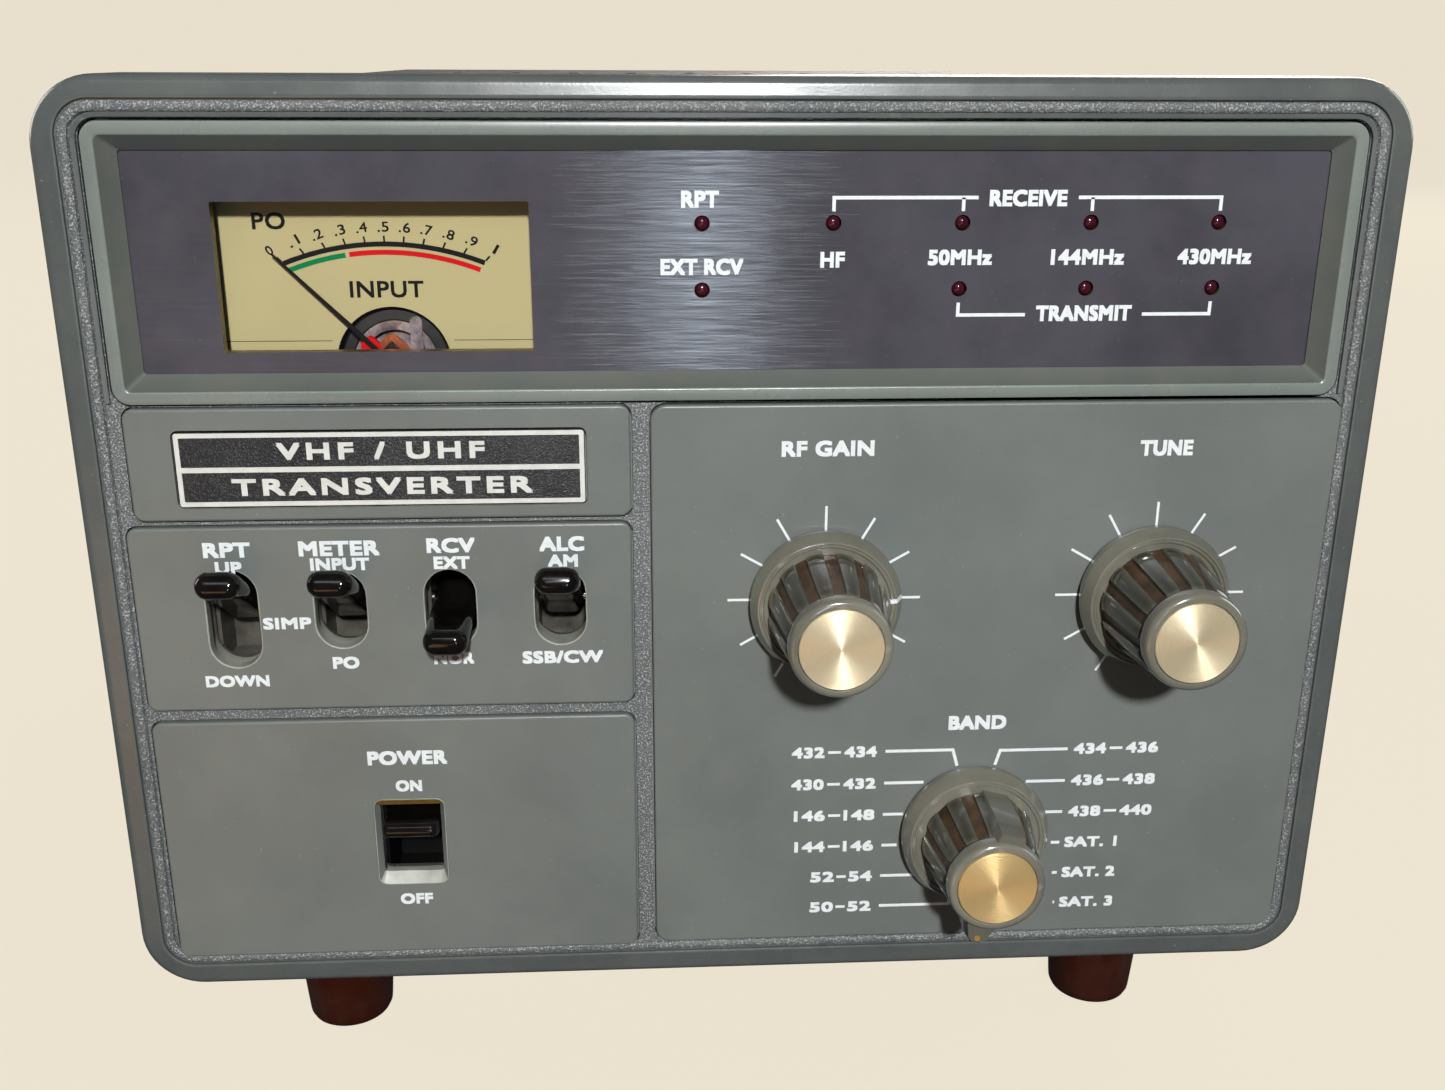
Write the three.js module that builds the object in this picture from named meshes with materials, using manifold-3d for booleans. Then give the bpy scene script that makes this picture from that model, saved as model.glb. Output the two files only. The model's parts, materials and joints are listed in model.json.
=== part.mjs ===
// A desktop VHF and UHF transverter for an amateur radio station, as an assembly of separate pieces.
// Millimetres, +Z up, front panel facing -Y. The origin is the bottom centre of the whole object.
//
// Most pieces are laid out in panel coordinates: x to the right, y the depth behind the front plane
// and z the height above the middle of the front panel. One group moves them all into place.

import * as THREE from "three";
import { mergeVertices } from "three/addons/utils/BufferGeometryUtils.js";
import Module from "manifold-3d";

const wasm = await Module();
wasm.setup();

// Driving dimensions -------------------------------------------------------------------------

const GAP = 0.3; // between pieces that touch or nest
const OVERSHOOT = 1; // how far a cutting shape runs past the face it opens
const BEYOND = 1000; // larger than the whole object

// The moulded front reaches a little further below the panel's middle than above it.
const BEZEL = { width: 211.8, height: 156.8, drop: 0.6, corner: 10.5, depth: 14, plate: 5, edge: 2 };
const MOUTH = { width: 205.6, height: 151.2, corner: 9.8 }; // its open back, which takes the case
const FACE = { width: 203.6, height: 148.8, corner: 5.6, recess: 0.8 }; // grained face inside the rim
const CASE = { width: 204.8, height: 150.4, corner: 9.5, sheet: 1.2, front: 8, rear: 298, split: -10 };
const OVERALL_DEPTH = 324; // front plane to the back of the heat sink
const KNOB_REACH = 23.1; // front plane to the tip of the knobs
const FOOT = { topRadius: 11, bottomRadius: 8, height: 26.3, x: 75.5, frontY: 25.4, rearY: 270 };
const FOOT_EDGE = { bottom: 0.8, top: 0.5, collar: 3 };
const FLOOR_TO_PANEL_CENTRE = CASE.height / 2 + GAP + FOOT.height;

// Windows and plates in the front face: middle x, middle z, width, height, corner radius.
const WINDOW = {
  x: 0,
  z: 49.65,
  width: 196.4,
  height: 43.1,
  corner: 2.8,
  innerCorner: 1.5,
  rim: 2,
  slope: 2.4,
  depth: 3,
  lip: 1,
  sheet: 2,
};
const METER = { x: -56.8, z: 47.45, width: 48.6, height: 23.3, corner: 0.4 };
const PLATE = { thickness: 2, edge: 0.4 };
const PLATES = {
  nameplate_panel: { x: -57.3, z: 18.2, width: 80, height: 18.6, corner: 1.8 },
  switch_panel: { x: -58.2, z: -8.4, width: 81.6, height: 32.4, corner: 1.8 },
  power_panel: { x: -58.2, z: -49.8, width: 81.6, height: 46, corner: 1.8 },
  control_panel: { x: 42.9, z: -22.5, width: 114, height: 99.8, corner: 2.6 },
};
const BADGE = { x: -57.2, z: 17.5, width: 65, height: 12.3, corner: 0.6, thickness: 0.9, pocket: 0.8 };

const METER_CASE = { front: 6, back: 34, halfWidth: 28.5, bottom: -25.6, top: 14.5, wall: 1.4 };
const SCALE = { front: 9.6, back: 10.2, hole: 9.3, notch: 14 };
const LENS_THICKNESS = 0.8;
const MOVEMENT = {
  ring: 8.6,
  core: 6.4,
  front: 11,
  floor: 22,
  back: 24,
  bridgeBack: 12.2,
  bridgeLength: 15.2,
  bridgeWidth: 3.2,
  bearing: 0.8,
};
const NEEDLE = {
  x: -55.6,
  z: 32.6,
  length: 25.4,
  tail: 5,
  halfWidth: 0.5,
  halfTip: 0.16,
  restAngle: -45,
  depth: 8.2,
  hub: 2.2,
  spindle: 0.45,
  spindleBack: 3.6,
};

// Status lamps stand on one board and look out through holes in the window panel.
const LAMP_COLUMNS = { repeat: -5.6, hf: 15.1, low: 35.6, middle: 56.2, high: 76.9 };
const LAMP_ROWS = { receive: 55.7, transmit: 45.3 };
const LAMP = { radius: 1.1, tip: 0.6, front: 3.1, shoulder: 3.8, back: 9 };
const LAMP_BOARD = { left: -11, right: 91, margin: 7, front: 8.6, back: 10.2 };
const LAMPS = [
  [LAMP_COLUMNS.repeat, LAMP_ROWS.receive],
  [LAMP_COLUMNS.repeat, LAMP_ROWS.transmit],
  [LAMP_COLUMNS.hf, LAMP_ROWS.receive],
  [LAMP_COLUMNS.low, LAMP_ROWS.receive],
  [LAMP_COLUMNS.middle, LAMP_ROWS.receive],
  [LAMP_COLUMNS.high, LAMP_ROWS.receive],
  [LAMP_COLUMNS.low, LAMP_ROWS.transmit],
  [LAMP_COLUMNS.middle, LAMP_ROWS.transmit],
  [LAMP_COLUMNS.high, LAMP_ROWS.transmit],
];

// Lever switches: slot middle and length, and the tip's angle above level at rest.
const LEVER = { slotWidth: 8.4, width: 7.2, root: 4, tip: 3.4, reach: 17.8, pivotDepth: 9, hub: 2 };
const LEVER_PIVOT_Z = -8;
const PIN = { radius: 1.2, hole: 1.6 };
const TAG = { halfWidth: 1, halfThickness: 0.4, length: 4, spacing: 6 }; // solder tags
const LEVERS = {
  rpt: { x: -83.3, slotZ: -8.15, slotLength: 17.1, restAngle: 28 },
  meter: { x: -65.65, slotZ: -6.75, slotLength: 13.5, restAngle: 28 },
  rcv: { x: -47.6, slotZ: -6.75, slotLength: 13.5, restAngle: -4.5 },
  alc: { x: -29.45, slotZ: -6.75, slotLength: 13.5, restAngle: 28 },
};
const SWITCH_BODY = { width: 13, height: 25, front: 6.8, back: 22, wall: 2 };
const SWITCH_ROOM = 5.5; // free depth behind a lever's pivot
const POWER = {
  x: -56.8,
  z: -50.5,
  width: 10.4,
  height: 15,
  corner: 0.6,
  chamfer: 1,
  restAngle: 12,
  lever: { width: 9.4, root: 5.4, tip: 3.5, reach: 13.6, pivotDepth: 13, hub: 3 },
};
const POWER_BODY = { width: 16, height: 30, front: 6.8, back: 32, wall: 2 };

// Rotary controls: axis x and z, and where the pointer stands at rest, clockwise from the top.
const CONTROLS = {
  rf_gain: { x: 14.8, z: -6.1, pointer: 90 },
  tune: { x: 70.6, z: -6.1, pointer: 110 },
  band: { x: 42.6, z: -50.6, pointer: -165 },
};
const KNOB = {
  skirtRadius: 12.7,
  skirtFront: -4.4,
  skirtEdge: 0.6,
  frontEdge: 0.7,
  bodyRadius: 11.2,
  topRadius: 8.6,
  topFront: { rf_gain: -22.6, tune: -22.6, band: -20 },
  back: -0.6,
  flutes: 12,
  fluteWidth: 1.3,
  fluteDepth: 0.9,
  bore: 15.3,
  hollow: 4,
};
const BAR_KNOB = { drum: 9, drumFront: 7.8, halfWidth: 5.2, tail: 4, nose: 1.6, noseInset: 1.3, rise: 6 };
const CAP = { radius: 6.6, thickness: 1.1, proud: 0.2, dome: 0.3 };
const SHAFT = { radius: 3, front: -15 };
const BUSH = { radius: 4.6, front: 1.4 };
const POTENTIOMETER = { radius: 12, back: 20, shaftBack: 18, tagWidth: 12, tagDepth: 12, tagReach: 5 };
const BAND_SWITCH = {
  width: 34,
  height: 30,
  corner: 6,
  indexBack: 14,
  wafers: [24, 40, 56],
  waferThickness: 1.6,
  rodX: 13,
  rodRadius: 1.6,
  rodBack: 60,
  shaftBack: 61,
};

const SUB_PANEL = { width: 200, height: 146, corner: 4, front: 5.3, back: 6.5 };
const CHASSIS = { floor: -69, sheet: 1.5, sideHeight: 30, halfWidth: 100, front: 9, back: 291 };
const REAR_PANEL = { front: 292, back: 293.5, width: 201.6, height: 147, corner: 8 };
const HEAT_SINK = { x: 38, z: 20, width: 116, height: 84, base: 4, fins: 13, finWidth: 2.2 };

// Solid helpers ------------------------------------------------------------------------------

// A geometry as a manifold-3d solid, which can be joined and cut.
function toSolid(geometry) {
  const bare = geometry.clone();
  bare.deleteAttribute("normal");
  bare.deleteAttribute("uv");
  const merged = mergeVertices(bare, 1e-4);
  return new wasm.Manifold(
    new wasm.Mesh({
      numProp: 3,
      vertProperties: merged.attributes.position.array,
      triVerts: new Uint32Array(merged.index.array),
    }),
  );
}

function toGeometry(solid) {
  const mesh = solid.getMesh();
  const geometry = new THREE.BufferGeometry();
  geometry.setAttribute("position", new THREE.BufferAttribute(mesh.vertProperties, 3));
  geometry.setIndex(new THREE.BufferAttribute(mesh.triVerts, 1));
  geometry.computeVertexNormals();
  return geometry;
}

function join(first, ...others) {
  return toGeometry(others.reduce((sum, other) => sum.add(toSolid(other)), toSolid(first)));
}

function cut(first, ...tools) {
  return toGeometry(tools.reduce((rest, tool) => rest.subtract(toSolid(tool)), toSolid(first)));
}

// Shape helpers: outlines lie in the x, z plane and are pushed along the depth y --------------

function roundedRectangle(width, height, radius, x = 0, z = 0) {
  const left = x - width / 2;
  const right = x + width / 2;
  const bottom = z - height / 2;
  const top = z + height / 2;
  const shape = new THREE.Shape();
  shape.moveTo(left + radius, bottom);
  shape.lineTo(right - radius, bottom);
  shape.absarc(right - radius, bottom + radius, radius, -Math.PI / 2, 0, false);
  shape.lineTo(right, top - radius);
  shape.absarc(right - radius, top - radius, radius, 0, Math.PI / 2, false);
  shape.lineTo(left + radius, top);
  shape.absarc(left + radius, top - radius, radius, Math.PI / 2, Math.PI, false);
  shape.lineTo(left, bottom + radius);
  shape.absarc(left + radius, bottom + radius, radius, Math.PI, 1.5 * Math.PI, false);
  return shape;
}

function slab(shape, front, back, curveSegments = 2) {
  const geometry = new THREE.ExtrudeGeometry(shape, {
    depth: back - front,
    bevelEnabled: false,
    curveSegments,
  });
  return geometry.rotateX(Math.PI / 2).translate(0, back, 0);
}

// A slab whose front edge slopes inwards by edge over a depth of slope.
function bevelledSlab(shape, front, back, edge, slope, curveSegments = 2) {
  const geometry = new THREE.ExtrudeGeometry(shape, {
    depth: back - front - slope,
    bevelThickness: slope,
    bevelSize: edge,
    bevelOffset: -edge,
    bevelSegments: 1,
    curveSegments,
  });
  geometry.rotateX(Math.PI / 2).translate(0, back, 0);
  return cut(geometry, box(BEYOND, slope * 2, BEYOND, 0, back + slope, 0));
}

function box(width, depth, height, x, y, z) {
  return new THREE.BoxGeometry(width, depth, height).translate(x, y, z);
}

// A box given by its two ends along each axis.
function block([x0, x1], [y0, y1], [z0, z1]) {
  return box(x1 - x0, y1 - y0, z1 - z0, (x0 + x1) / 2, (y0 + y1) / 2, (z0 + z1) / 2);
}

// A round bar along y.
function bar(radius, front, back, x = 0, z = 0, sides = 14) {
  const geometry = new THREE.CylinderGeometry(radius, radius, back - front, sides);
  return geometry.translate(x, (front + back) / 2, z);
}

// A round bar along x.
function crossBar(radius, length, y = 0, z = 0, sides = 10) {
  return new THREE.CylinderGeometry(radius, radius, length, sides)
    .rotateZ(Math.PI / 2)
    .translate(0, y, z);
}

// A turned shape about y from a profile of [radius, y] points, listed from the back to the front.
function turned(profile, sides = 24) {
  const points = profile.map(([radius, y]) => new THREE.Vector2(radius, -y));
  return new THREE.LatheGeometry(points, sides).rotateX(Math.PI);
}

// A side outline of [y, z] points pushed along x, centred on x = 0.
function sidePush(shape, width, curveSegments = 6) {
  const geometry = new THREE.ExtrudeGeometry(shape, {
    depth: width,
    bevelEnabled: false,
    curveSegments,
  });
  geometry.rotateX(Math.PI / 2).rotateZ(Math.PI / 2);
  return geometry.translate(-width / 2, 0, 0);
}

// Materials ----------------------------------------------------------------------------------

const LOOKS = {
  bezel_paint: [0x5c625f, 0.5, 0.2],
  panel_paint: [0x70756f, 0.45, 0.2],
  smoked_plastic: [0x2b2930, 0.15, 0],
  clear_plastic: [0xe8e4d8, 0.05, 0],
  badge_black: [0x1c1b1c, 0.6, 0],
  knob_plastic: [0x141312, 0.25, 0],
  spun_gold: [0xb79a5e, 0.25, 1],
  bright_steel: [0xb9b9b6, 0.3, 1],
  zinc_steel: [0x9d9c92, 0.45, 0.9],
  case_paint: [0x3a3b3b, 0.6, 0.1],
  scale_card: [0xd6c494, 0.8, 0],
  meter_black: [0x1d1b1b, 0.5, 0],
  board_green: [0x39563a, 0.5, 0],
  rubber: [0x151414, 0.8, 0],
  cast_aluminium: [0x6a6c6c, 0.5, 0.9],
  black_plastic: [0x161616, 0.5, 0],
  transformer_steel: [0x4b4440, 0.5, 0.7],
  lever_plastic: [0x0e0d0d, 0.2, 0],
};

const panelFrame = new THREE.Group();

function addPiece(name, look, geometry, parent = panelFrame) {
  const [color, roughness, metalness] = LOOKS[look];
  const mesh = new THREE.Mesh(
    geometry,
    new THREE.MeshStandardMaterial({ color, roughness, metalness }),
  );
  mesh.name = name;
  parent.add(mesh);
  return mesh;
}

// Openings that several front pieces share ---------------------------------------------------

function leverSlots(front, back, extra = 0) {
  return Object.values(LEVERS).map(({ x, slotZ, slotLength }) => {
    const width = LEVER.slotWidth + 2 * extra;
    const outline = roundedRectangle(width, slotLength + 2 * extra, width / 2 - 0.01, x, slotZ);
    return slab(outline, front, back, 3);
  });
}

function powerOpening(front, back, extra = 0) {
  const width = POWER.width + 2 * extra;
  const height = POWER.height + 2 * extra;
  return slab(roundedRectangle(width, height, POWER.corner, POWER.x, POWER.z), front, back, 1);
}

function shaftHoles(front, back, radius) {
  return Object.values(CONTROLS).map(({ x, z }) => bar(radius, front, back, x, z));
}

// Front moulding -----------------------------------------------------------------------------

function makeBezel() {
  const { width, height, drop, corner, depth, plate, edge } = BEZEL;
  const outline = roundedRectangle(width, height, corner, 0, -drop);
  const outside = bevelledSlab(outline, 0, depth, edge, edge, 5);
  const inside = roundedRectangle(MOUTH.width, MOUTH.height, MOUTH.corner);
  const face = roundedRectangle(FACE.width, FACE.height, FACE.corner);
  const grown = (p) =>
    roundedRectangle(p.width + 2 * GAP, p.height + 2 * GAP, p.corner + GAP, p.x, p.z);
  const pockets = Object.values(PLATES).map((p) =>
    slab(grown(p), 0, PLATE.thickness + GAP),
  );
  return cut(
    outside,
    slab(inside, plate, depth + OVERSHOOT),
    slab(face, -OVERSHOOT, FACE.recess),
    slab(grown(WINDOW), -OVERSHOOT, plate + OVERSHOOT),
    ...pockets,
    ...leverSlots(-OVERSHOOT, plate + OVERSHOOT, GAP),
    powerOpening(-OVERSHOOT, plate + OVERSHOOT, GAP),
    ...shaftHoles(-OVERSHOOT, plate + OVERSHOOT, BUSH.radius + GAP),
  );
}

function makeWindowFrame() {
  const { x, z, width, height, corner, innerCorner, rim, slope, depth, lip } = WINDOW;
  const back = BEZEL.plate;
  const flare = new THREE.ExtrudeGeometry(
    roundedRectangle(width - 2 * rim, height - 2 * rim, innerCorner + slope, x, z),
    {
      depth: OVERSHOOT,
      bevelThickness: depth,
      bevelSize: slope,
      bevelOffset: -slope,
      bevelSegments: 1,
      curveSegments: 3,
    },
  );
  flare.rotateX(Math.PI / 2);
  const inset = 2 * (rim + slope - lip);
  const seat = roundedRectangle(width - inset, height - inset, innerCorner, x, z);
  return cut(
    slab(roundedRectangle(width, height, corner, x, z), 0, back),
    flare,
    slab(seat, depth - 0.01, back + OVERSHOOT),
  );
}

function makeWindowPanel() {
  const { x, z, width, height, innerCorner, rim, slope, depth, lip, sheet } = WINDOW;
  const front = depth + GAP;
  const back = front + sheet;
  const inset = 2 * (rim + slope - lip + GAP);
  const opening = roundedRectangle(METER.width, METER.height, METER.corner, METER.x, METER.z);
  const outline = roundedRectangle(width - inset, height - inset, innerCorner - GAP, x, z);
  return cut(
    slab(outline, front, back, 2),
    slab(opening, 0, back + OVERSHOOT, 1),
    ...LAMPS.map(([lampX, lampZ]) => bar(LAMP.radius + GAP, 0, back + OVERSHOOT, lampX, lampZ, 8)),
  );
}

function makePlate(name) {
  const p = PLATES[name];
  const outline = roundedRectangle(p.width, p.height, p.corner, p.x, p.z);
  const front = -OVERSHOOT;
  const back = PLATE.thickness + OVERSHOOT;
  const openings = {
    nameplate_panel: () => [
      slab(
        roundedRectangle(
          BADGE.width + 2 * GAP,
          BADGE.height + 2 * GAP,
          BADGE.corner + GAP,
          BADGE.x,
          BADGE.z,
        ),
        front,
        BADGE.pocket + GAP,
      ),
    ],
    switch_panel: () => leverSlots(front, back),
    power_panel: () => [powerOpening(front, back), powerChamfer()],
    control_panel: () => shaftHoles(front, back, BUSH.radius + GAP),
  }[name];
  return cut(bevelledSlab(outline, 0, PLATE.thickness, PLATE.edge, PLATE.edge), ...openings());
}

// The sloping edge round the power switch opening.
function powerChamfer() {
  const { x, z, width, height, chamfer } = POWER;
  const corner = POWER.corner + chamfer;
  const outline = roundedRectangle(width + 2 * chamfer, height + 2 * chamfer, corner, x, z);
  return new THREE.ExtrudeGeometry(outline, {
    depth: OVERSHOOT,
    bevelThickness: chamfer,
    bevelSize: chamfer,
    bevelOffset: -chamfer,
    bevelSegments: 1,
    curveSegments: 2,
  }).rotateX(Math.PI / 2);
}

function makeBadge() {
  const { x, z, width, height, corner, thickness, pocket } = BADGE;
  return slab(roundedRectangle(width, height, corner, x, z), pocket - thickness, pocket, 2);
}

// Room for the meter housing, and for the lamp board, with a margin all round.
function meterRoom(depth, margin) {
  const halfWidth = METER_CASE.halfWidth + margin;
  const height = [METER.z + METER_CASE.bottom - margin, METER.z + METER_CASE.top + margin];
  return block([METER.x - halfWidth, METER.x + halfWidth], depth, height);
}

function lampRoom(depth, margin) {
  const { left, right } = LAMP_BOARD;
  const reach = LAMP_BOARD.margin + margin;
  const height = [LAMP_ROWS.transmit - reach, LAMP_ROWS.receive + reach];
  return block([left - margin, right + margin], depth, height);
}

function makeSubPanel() {
  const { width, height, corner, front, back } = SUB_PANEL;
  const open = [front - OVERSHOOT, back + OVERSHOOT];
  return cut(
    slab(roundedRectangle(width, height, corner), front, back),
    meterRoom(open, 2 * OVERSHOOT),
    lampRoom(open, OVERSHOOT),
    ...leverSlots(...open, 2 * GAP),
    powerOpening(...open, 2 * GAP),
    ...shaftHoles(...open, BUSH.radius + GAP),
  );
}

addPiece("front_bezel", "bezel_paint", makeBezel());
addPiece("window_frame", "bezel_paint", makeWindowFrame());
addPiece("window_panel", "smoked_plastic", makeWindowPanel());
for (const name of Object.keys(PLATES)) {
  addPiece(name, "panel_paint", makePlate(name));
}
addPiece("name_badge", "badge_black", makeBadge());
addPiece("sub_panel", "zinc_steel", makeSubPanel());

// Meter --------------------------------------------------------------------------------------

function makeMeterCase() {
  const { front, back, halfWidth, bottom, top, wall } = METER_CASE;
  const spanX = [METER.x - halfWidth, METER.x + halfWidth];
  const spanZ = [METER.z + bottom, METER.z + top];
  const inner = (span) => [span[0] + wall, span[1] - wall];
  return cut(
    block(spanX, [front, back], spanZ),
    block(inner(spanX), [front - OVERSHOOT, back - wall], inner(spanZ)),
  );
}

// A thin clear sheet over the mouth of the meter housing.
function makeMeterLens() {
  const { front, halfWidth, bottom, top, wall } = METER_CASE;
  const inset = wall + GAP;
  return block(
    [METER.x - halfWidth + inset, METER.x + halfWidth - inset],
    [front + GAP, front + GAP + LENS_THICKNESS],
    [METER.z + bottom + inset, METER.z + top - inset],
  );
}

function makeScalePlate() {
  const inset = METER_CASE.wall + GAP;
  const { halfWidth, bottom, top } = METER_CASE;
  const plate = block(
    [METER.x - halfWidth + inset, METER.x + halfWidth - inset],
    [SCALE.front, SCALE.back],
    [METER.z + bottom + inset, METER.z + top - inset],
  );
  const spread = [SCALE.front - OVERSHOOT, SCALE.back + OVERSHOOT];
  return cut(
    plate,
    bar(SCALE.hole, ...spread, NEEDLE.x, NEEDLE.z, 24),
    block([NEEDLE.x - SCALE.hole, NEEDLE.x + SCALE.hole], spread, [NEEDLE.z - SCALE.notch, NEEDLE.z]),
  );
}

// The magnet ring, its core and the bridge that carries the needle's rear bearing.
function makeMovement() {
  const { front, floor, back, bridgeBack, bridgeLength, bridgeWidth } = MOVEMENT;
  const before = front - OVERSHOOT;
  const ring = cut(bar(MOVEMENT.ring, front, back), bar(MOVEMENT.core, before, floor));
  const middle = (front + bridgeBack) / 2;
  const bridge = box(bridgeLength, bridgeBack - front, bridgeWidth, 0, middle, 0);
  const bearing = bar(MOVEMENT.bearing, before, bridgeBack + OVERSHOOT, 0, 0, 12);
  const movement = join(ring, cut(bridge, bearing));
  return movement.translate(NEEDLE.x, 0, NEEDLE.z);
}

// The pointer, its hub and the spindle stub that turns in the bridge.
function makeNeedle() {
  const { length, tail, halfWidth, halfTip, hub, spindle, spindleBack } = NEEDLE;
  const outline = new THREE.Shape();
  outline.moveTo(-halfWidth, -tail);
  outline.lineTo(halfWidth, -tail);
  outline.lineTo(halfWidth * 0.8, length * 0.3);
  outline.lineTo(halfTip, length);
  outline.lineTo(-halfTip, length);
  outline.lineTo(-halfWidth * 0.8, length * 0.3);
  return join(
    slab(outline, -0.25, 0.25),
    bar(hub, -0.4, 0.7),
    bar(spindle, 0.5, spindleBack, 0, 0, 8),
  );
}

addPiece("meter_housing", "meter_black", makeMeterCase());
addPiece("meter_lens", "clear_plastic", makeMeterLens());
addPiece("meter_scale", "scale_card", makeScalePlate());
addPiece("meter_movement", "meter_black", makeMovement());
const needle = addPiece("meter_needle", "meter_black", makeNeedle());
needle.position.set(NEEDLE.x, NEEDLE.depth, NEEDLE.z);
needle.rotation.y = THREE.MathUtils.degToRad(NEEDLE.restAngle);

// Status lamps -------------------------------------------------------------------------------

function makeLampBoard() {
  const { radius, tip, front, shoulder, back } = LAMP;
  const board = lampRoom([LAMP_BOARD.front, LAMP_BOARD.back], 0);
  const profile = [[0, back], [radius, back], [radius, shoulder], [tip, front], [0, front]];
  const lamps = LAMPS.map(([x, z]) => turned(profile, 8).translate(x, 0, z));
  return join(board, ...lamps);
}

addPiece("lamp_board", "board_green", makeLampBoard());

// Lever switches -----------------------------------------------------------------------------

// Side outline of a lever about its pivot: a round hub and a blade that tapers to a round tip.
function leverOutline({ reach, root, tip, hub }) {
  const shape = new THREE.Shape();
  shape.moveTo(0, -hub);
  shape.absarc(0, 0, hub, -Math.PI / 2, Math.PI / 2, false);
  shape.lineTo(-hub, root / 2);
  shape.lineTo(-reach, tip / 2);
  shape.absarc(-reach, 0, tip / 2, Math.PI / 2, 1.5 * Math.PI, false);
  shape.lineTo(-hub, -root / 2);
  return shape;
}

// A lever with its blade's long edges rounded to suit the slot's round ends, and its pivot pin.
function makeLever(lever, bodyWidth) {
  const blade = toSolid(sidePush(leverOutline(lever), lever.width, 4));
  const section = roundedRectangle(lever.width, 2 * lever.hub, lever.hub - 0.2);
  const rounding = toSolid(slab(section, -lever.reach - lever.tip, lever.hub + OVERSHOOT, 3));
  return join(toGeometry(blade.intersect(rounding)), crossBar(PIN.radius, bodyWidth - 1));
}

// A switch body open at the front, with a bearing hole through both cheeks.
function makeSwitchBody(body, innerWidth, x, z, pivotDepth, pivotZ) {
  const inner = innerWidth / 2;
  const outer = body.width / 2;
  const shell = block([-outer, outer], [body.front, body.back], [-body.height / 2, body.height / 2]);
  const room = block(
    [-inner, inner],
    [body.front - OVERSHOOT, pivotDepth + SWITCH_ROOM],
    [-body.height / 2 + body.wall, body.height / 2 - body.wall],
  );
  const bearing = crossBar(PIN.hole, body.width + 2, pivotDepth, pivotZ - z);
  const terminals = [-1, 0, 1].map((step) => {
    const level = step * TAG.spacing;
    const depth = [body.back - 0.5, body.back + TAG.length];
    const height = [level - TAG.halfThickness, level + TAG.halfThickness];
    return block([-TAG.halfWidth, TAG.halfWidth], depth, height);
  });
  return join(cut(shell, room, bearing), ...terminals).translate(x, 0, z);
}

for (const [name, { x, slotZ, restAngle }] of Object.entries(LEVERS)) {
  const room = LEVER.width + 1;
  const still = makeSwitchBody(SWITCH_BODY, room, x, slotZ, LEVER.pivotDepth, LEVER_PIVOT_Z);
  addPiece(`${name}_switch_body`, "zinc_steel", still);
  const blade = makeLever(LEVER, SWITCH_BODY.width);
  const lever = addPiece(`${name}_switch_lever`, "lever_plastic", blade);
  lever.position.set(x, LEVER.pivotDepth, LEVER_PIVOT_Z);
  lever.rotation.x = THREE.MathUtils.degToRad(-restAngle);
}

const { x: powerX, z: powerZ, lever: POWER_LEVER } = POWER;
const powerRoom = POWER_LEVER.width + 1;
const powerDepth = POWER_LEVER.pivotDepth;
const powerStill = makeSwitchBody(POWER_BODY, powerRoom, powerX, powerZ, powerDepth, powerZ);
addPiece("power_switch_body", "black_plastic", powerStill);
const powerBlade = makeLever(POWER_LEVER, POWER_BODY.width);
const powerLever = addPiece("power_switch_lever", "lever_plastic", powerBlade);
powerLever.position.set(powerX, powerDepth, powerZ);
powerLever.rotation.x = THREE.MathUtils.degToRad(-POWER.restAngle);

// Rotary controls ----------------------------------------------------------------------------

// The knob about its own axis, pointer upwards: skirt, fluted tapering body, recess for the cap.
function makeKnob(topFront) {
  const { skirtRadius, skirtFront, skirtEdge, frontEdge } = KNOB;
  const { bodyRadius, topRadius, back } = KNOB;
  const body = turned([
    [0, back],
    [skirtRadius, back],
    [skirtRadius, skirtFront + skirtEdge],
    [skirtRadius - skirtEdge, skirtFront],
    [bodyRadius, skirtFront - skirtEdge],
    [topRadius, topFront + frontEdge],
    [topRadius - frontEdge, topFront],
    [0, topFront],
  ]);
  const flutes = [];
  for (let i = 0; i < KNOB.flutes; i++) {
    const length = skirtFront - topFront - 2.4;
    const groove = box(KNOB.fluteWidth, length, 2 * KNOB.fluteDepth, 0, -length / 2, 0);
    const slope = Math.atan2(bodyRadius - topRadius, skirtFront - topFront);
    groove.rotateX(slope).translate(0, skirtFront - 1.2, bodyRadius - 0.1);
    groove.rotateY(THREE.MathUtils.degToRad((360 / KNOB.flutes) * (i + 0.5)));
    flutes.push(groove);
  }
  return cut(body, ...flutes, ...knobHollows(topFront));
}

// The bore for the shaft, the room for the bush's nut, and the recess for the cap.
function knobHollows(topFront) {
  const { bore, hollow } = KNOB;
  return [
    bar(SHAFT.radius + GAP, -bore, OVERSHOOT),
    bar(BUSH.radius + 1.4, -hollow, OVERSHOOT),
    bar(CAP.radius + GAP, topFront - OVERSHOOT, topFront + CAP.thickness),
  ];
}

// The band knob is a bar across a round skirt, with its nose at the pointer end.
function makeBarKnob(topFront) {
  const { skirtRadius, skirtFront, skirtEdge, frontEdge, back } = KNOB;
  const { drum, drumFront, halfWidth, tail, nose, noseInset, rise } = BAR_KNOB;
  const skirt = turned([
    [0, back],
    [skirtRadius, back],
    [skirtRadius, skirtFront + skirtEdge],
    [skirtRadius - skirtEdge, skirtFront],
    [0, skirtFront],
  ]);
  const root = skirtFront + 0.5;
  const barrel = turned([
    [0, root],
    [drum, root],
    [drumFront + frontEdge, topFront + frontEdge],
    [drumFront, topFront],
    [0, topFront],
  ]);
  const outline = new THREE.Shape();
  outline.moveTo(-tail, 1.5 - skirtRadius);
  outline.lineTo(tail, 1.5 - skirtRadius);
  outline.lineTo(halfWidth, 0);
  outline.lineTo(nose, skirtRadius - noseInset);
  outline.lineTo(-nose, skirtRadius - noseInset);
  outline.lineTo(-halfWidth, 0);
  const wing = slab(outline, topFront + rise, root);
  return cut(join(skirt, barrel, wing), ...knobHollows(topFront));
}

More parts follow.
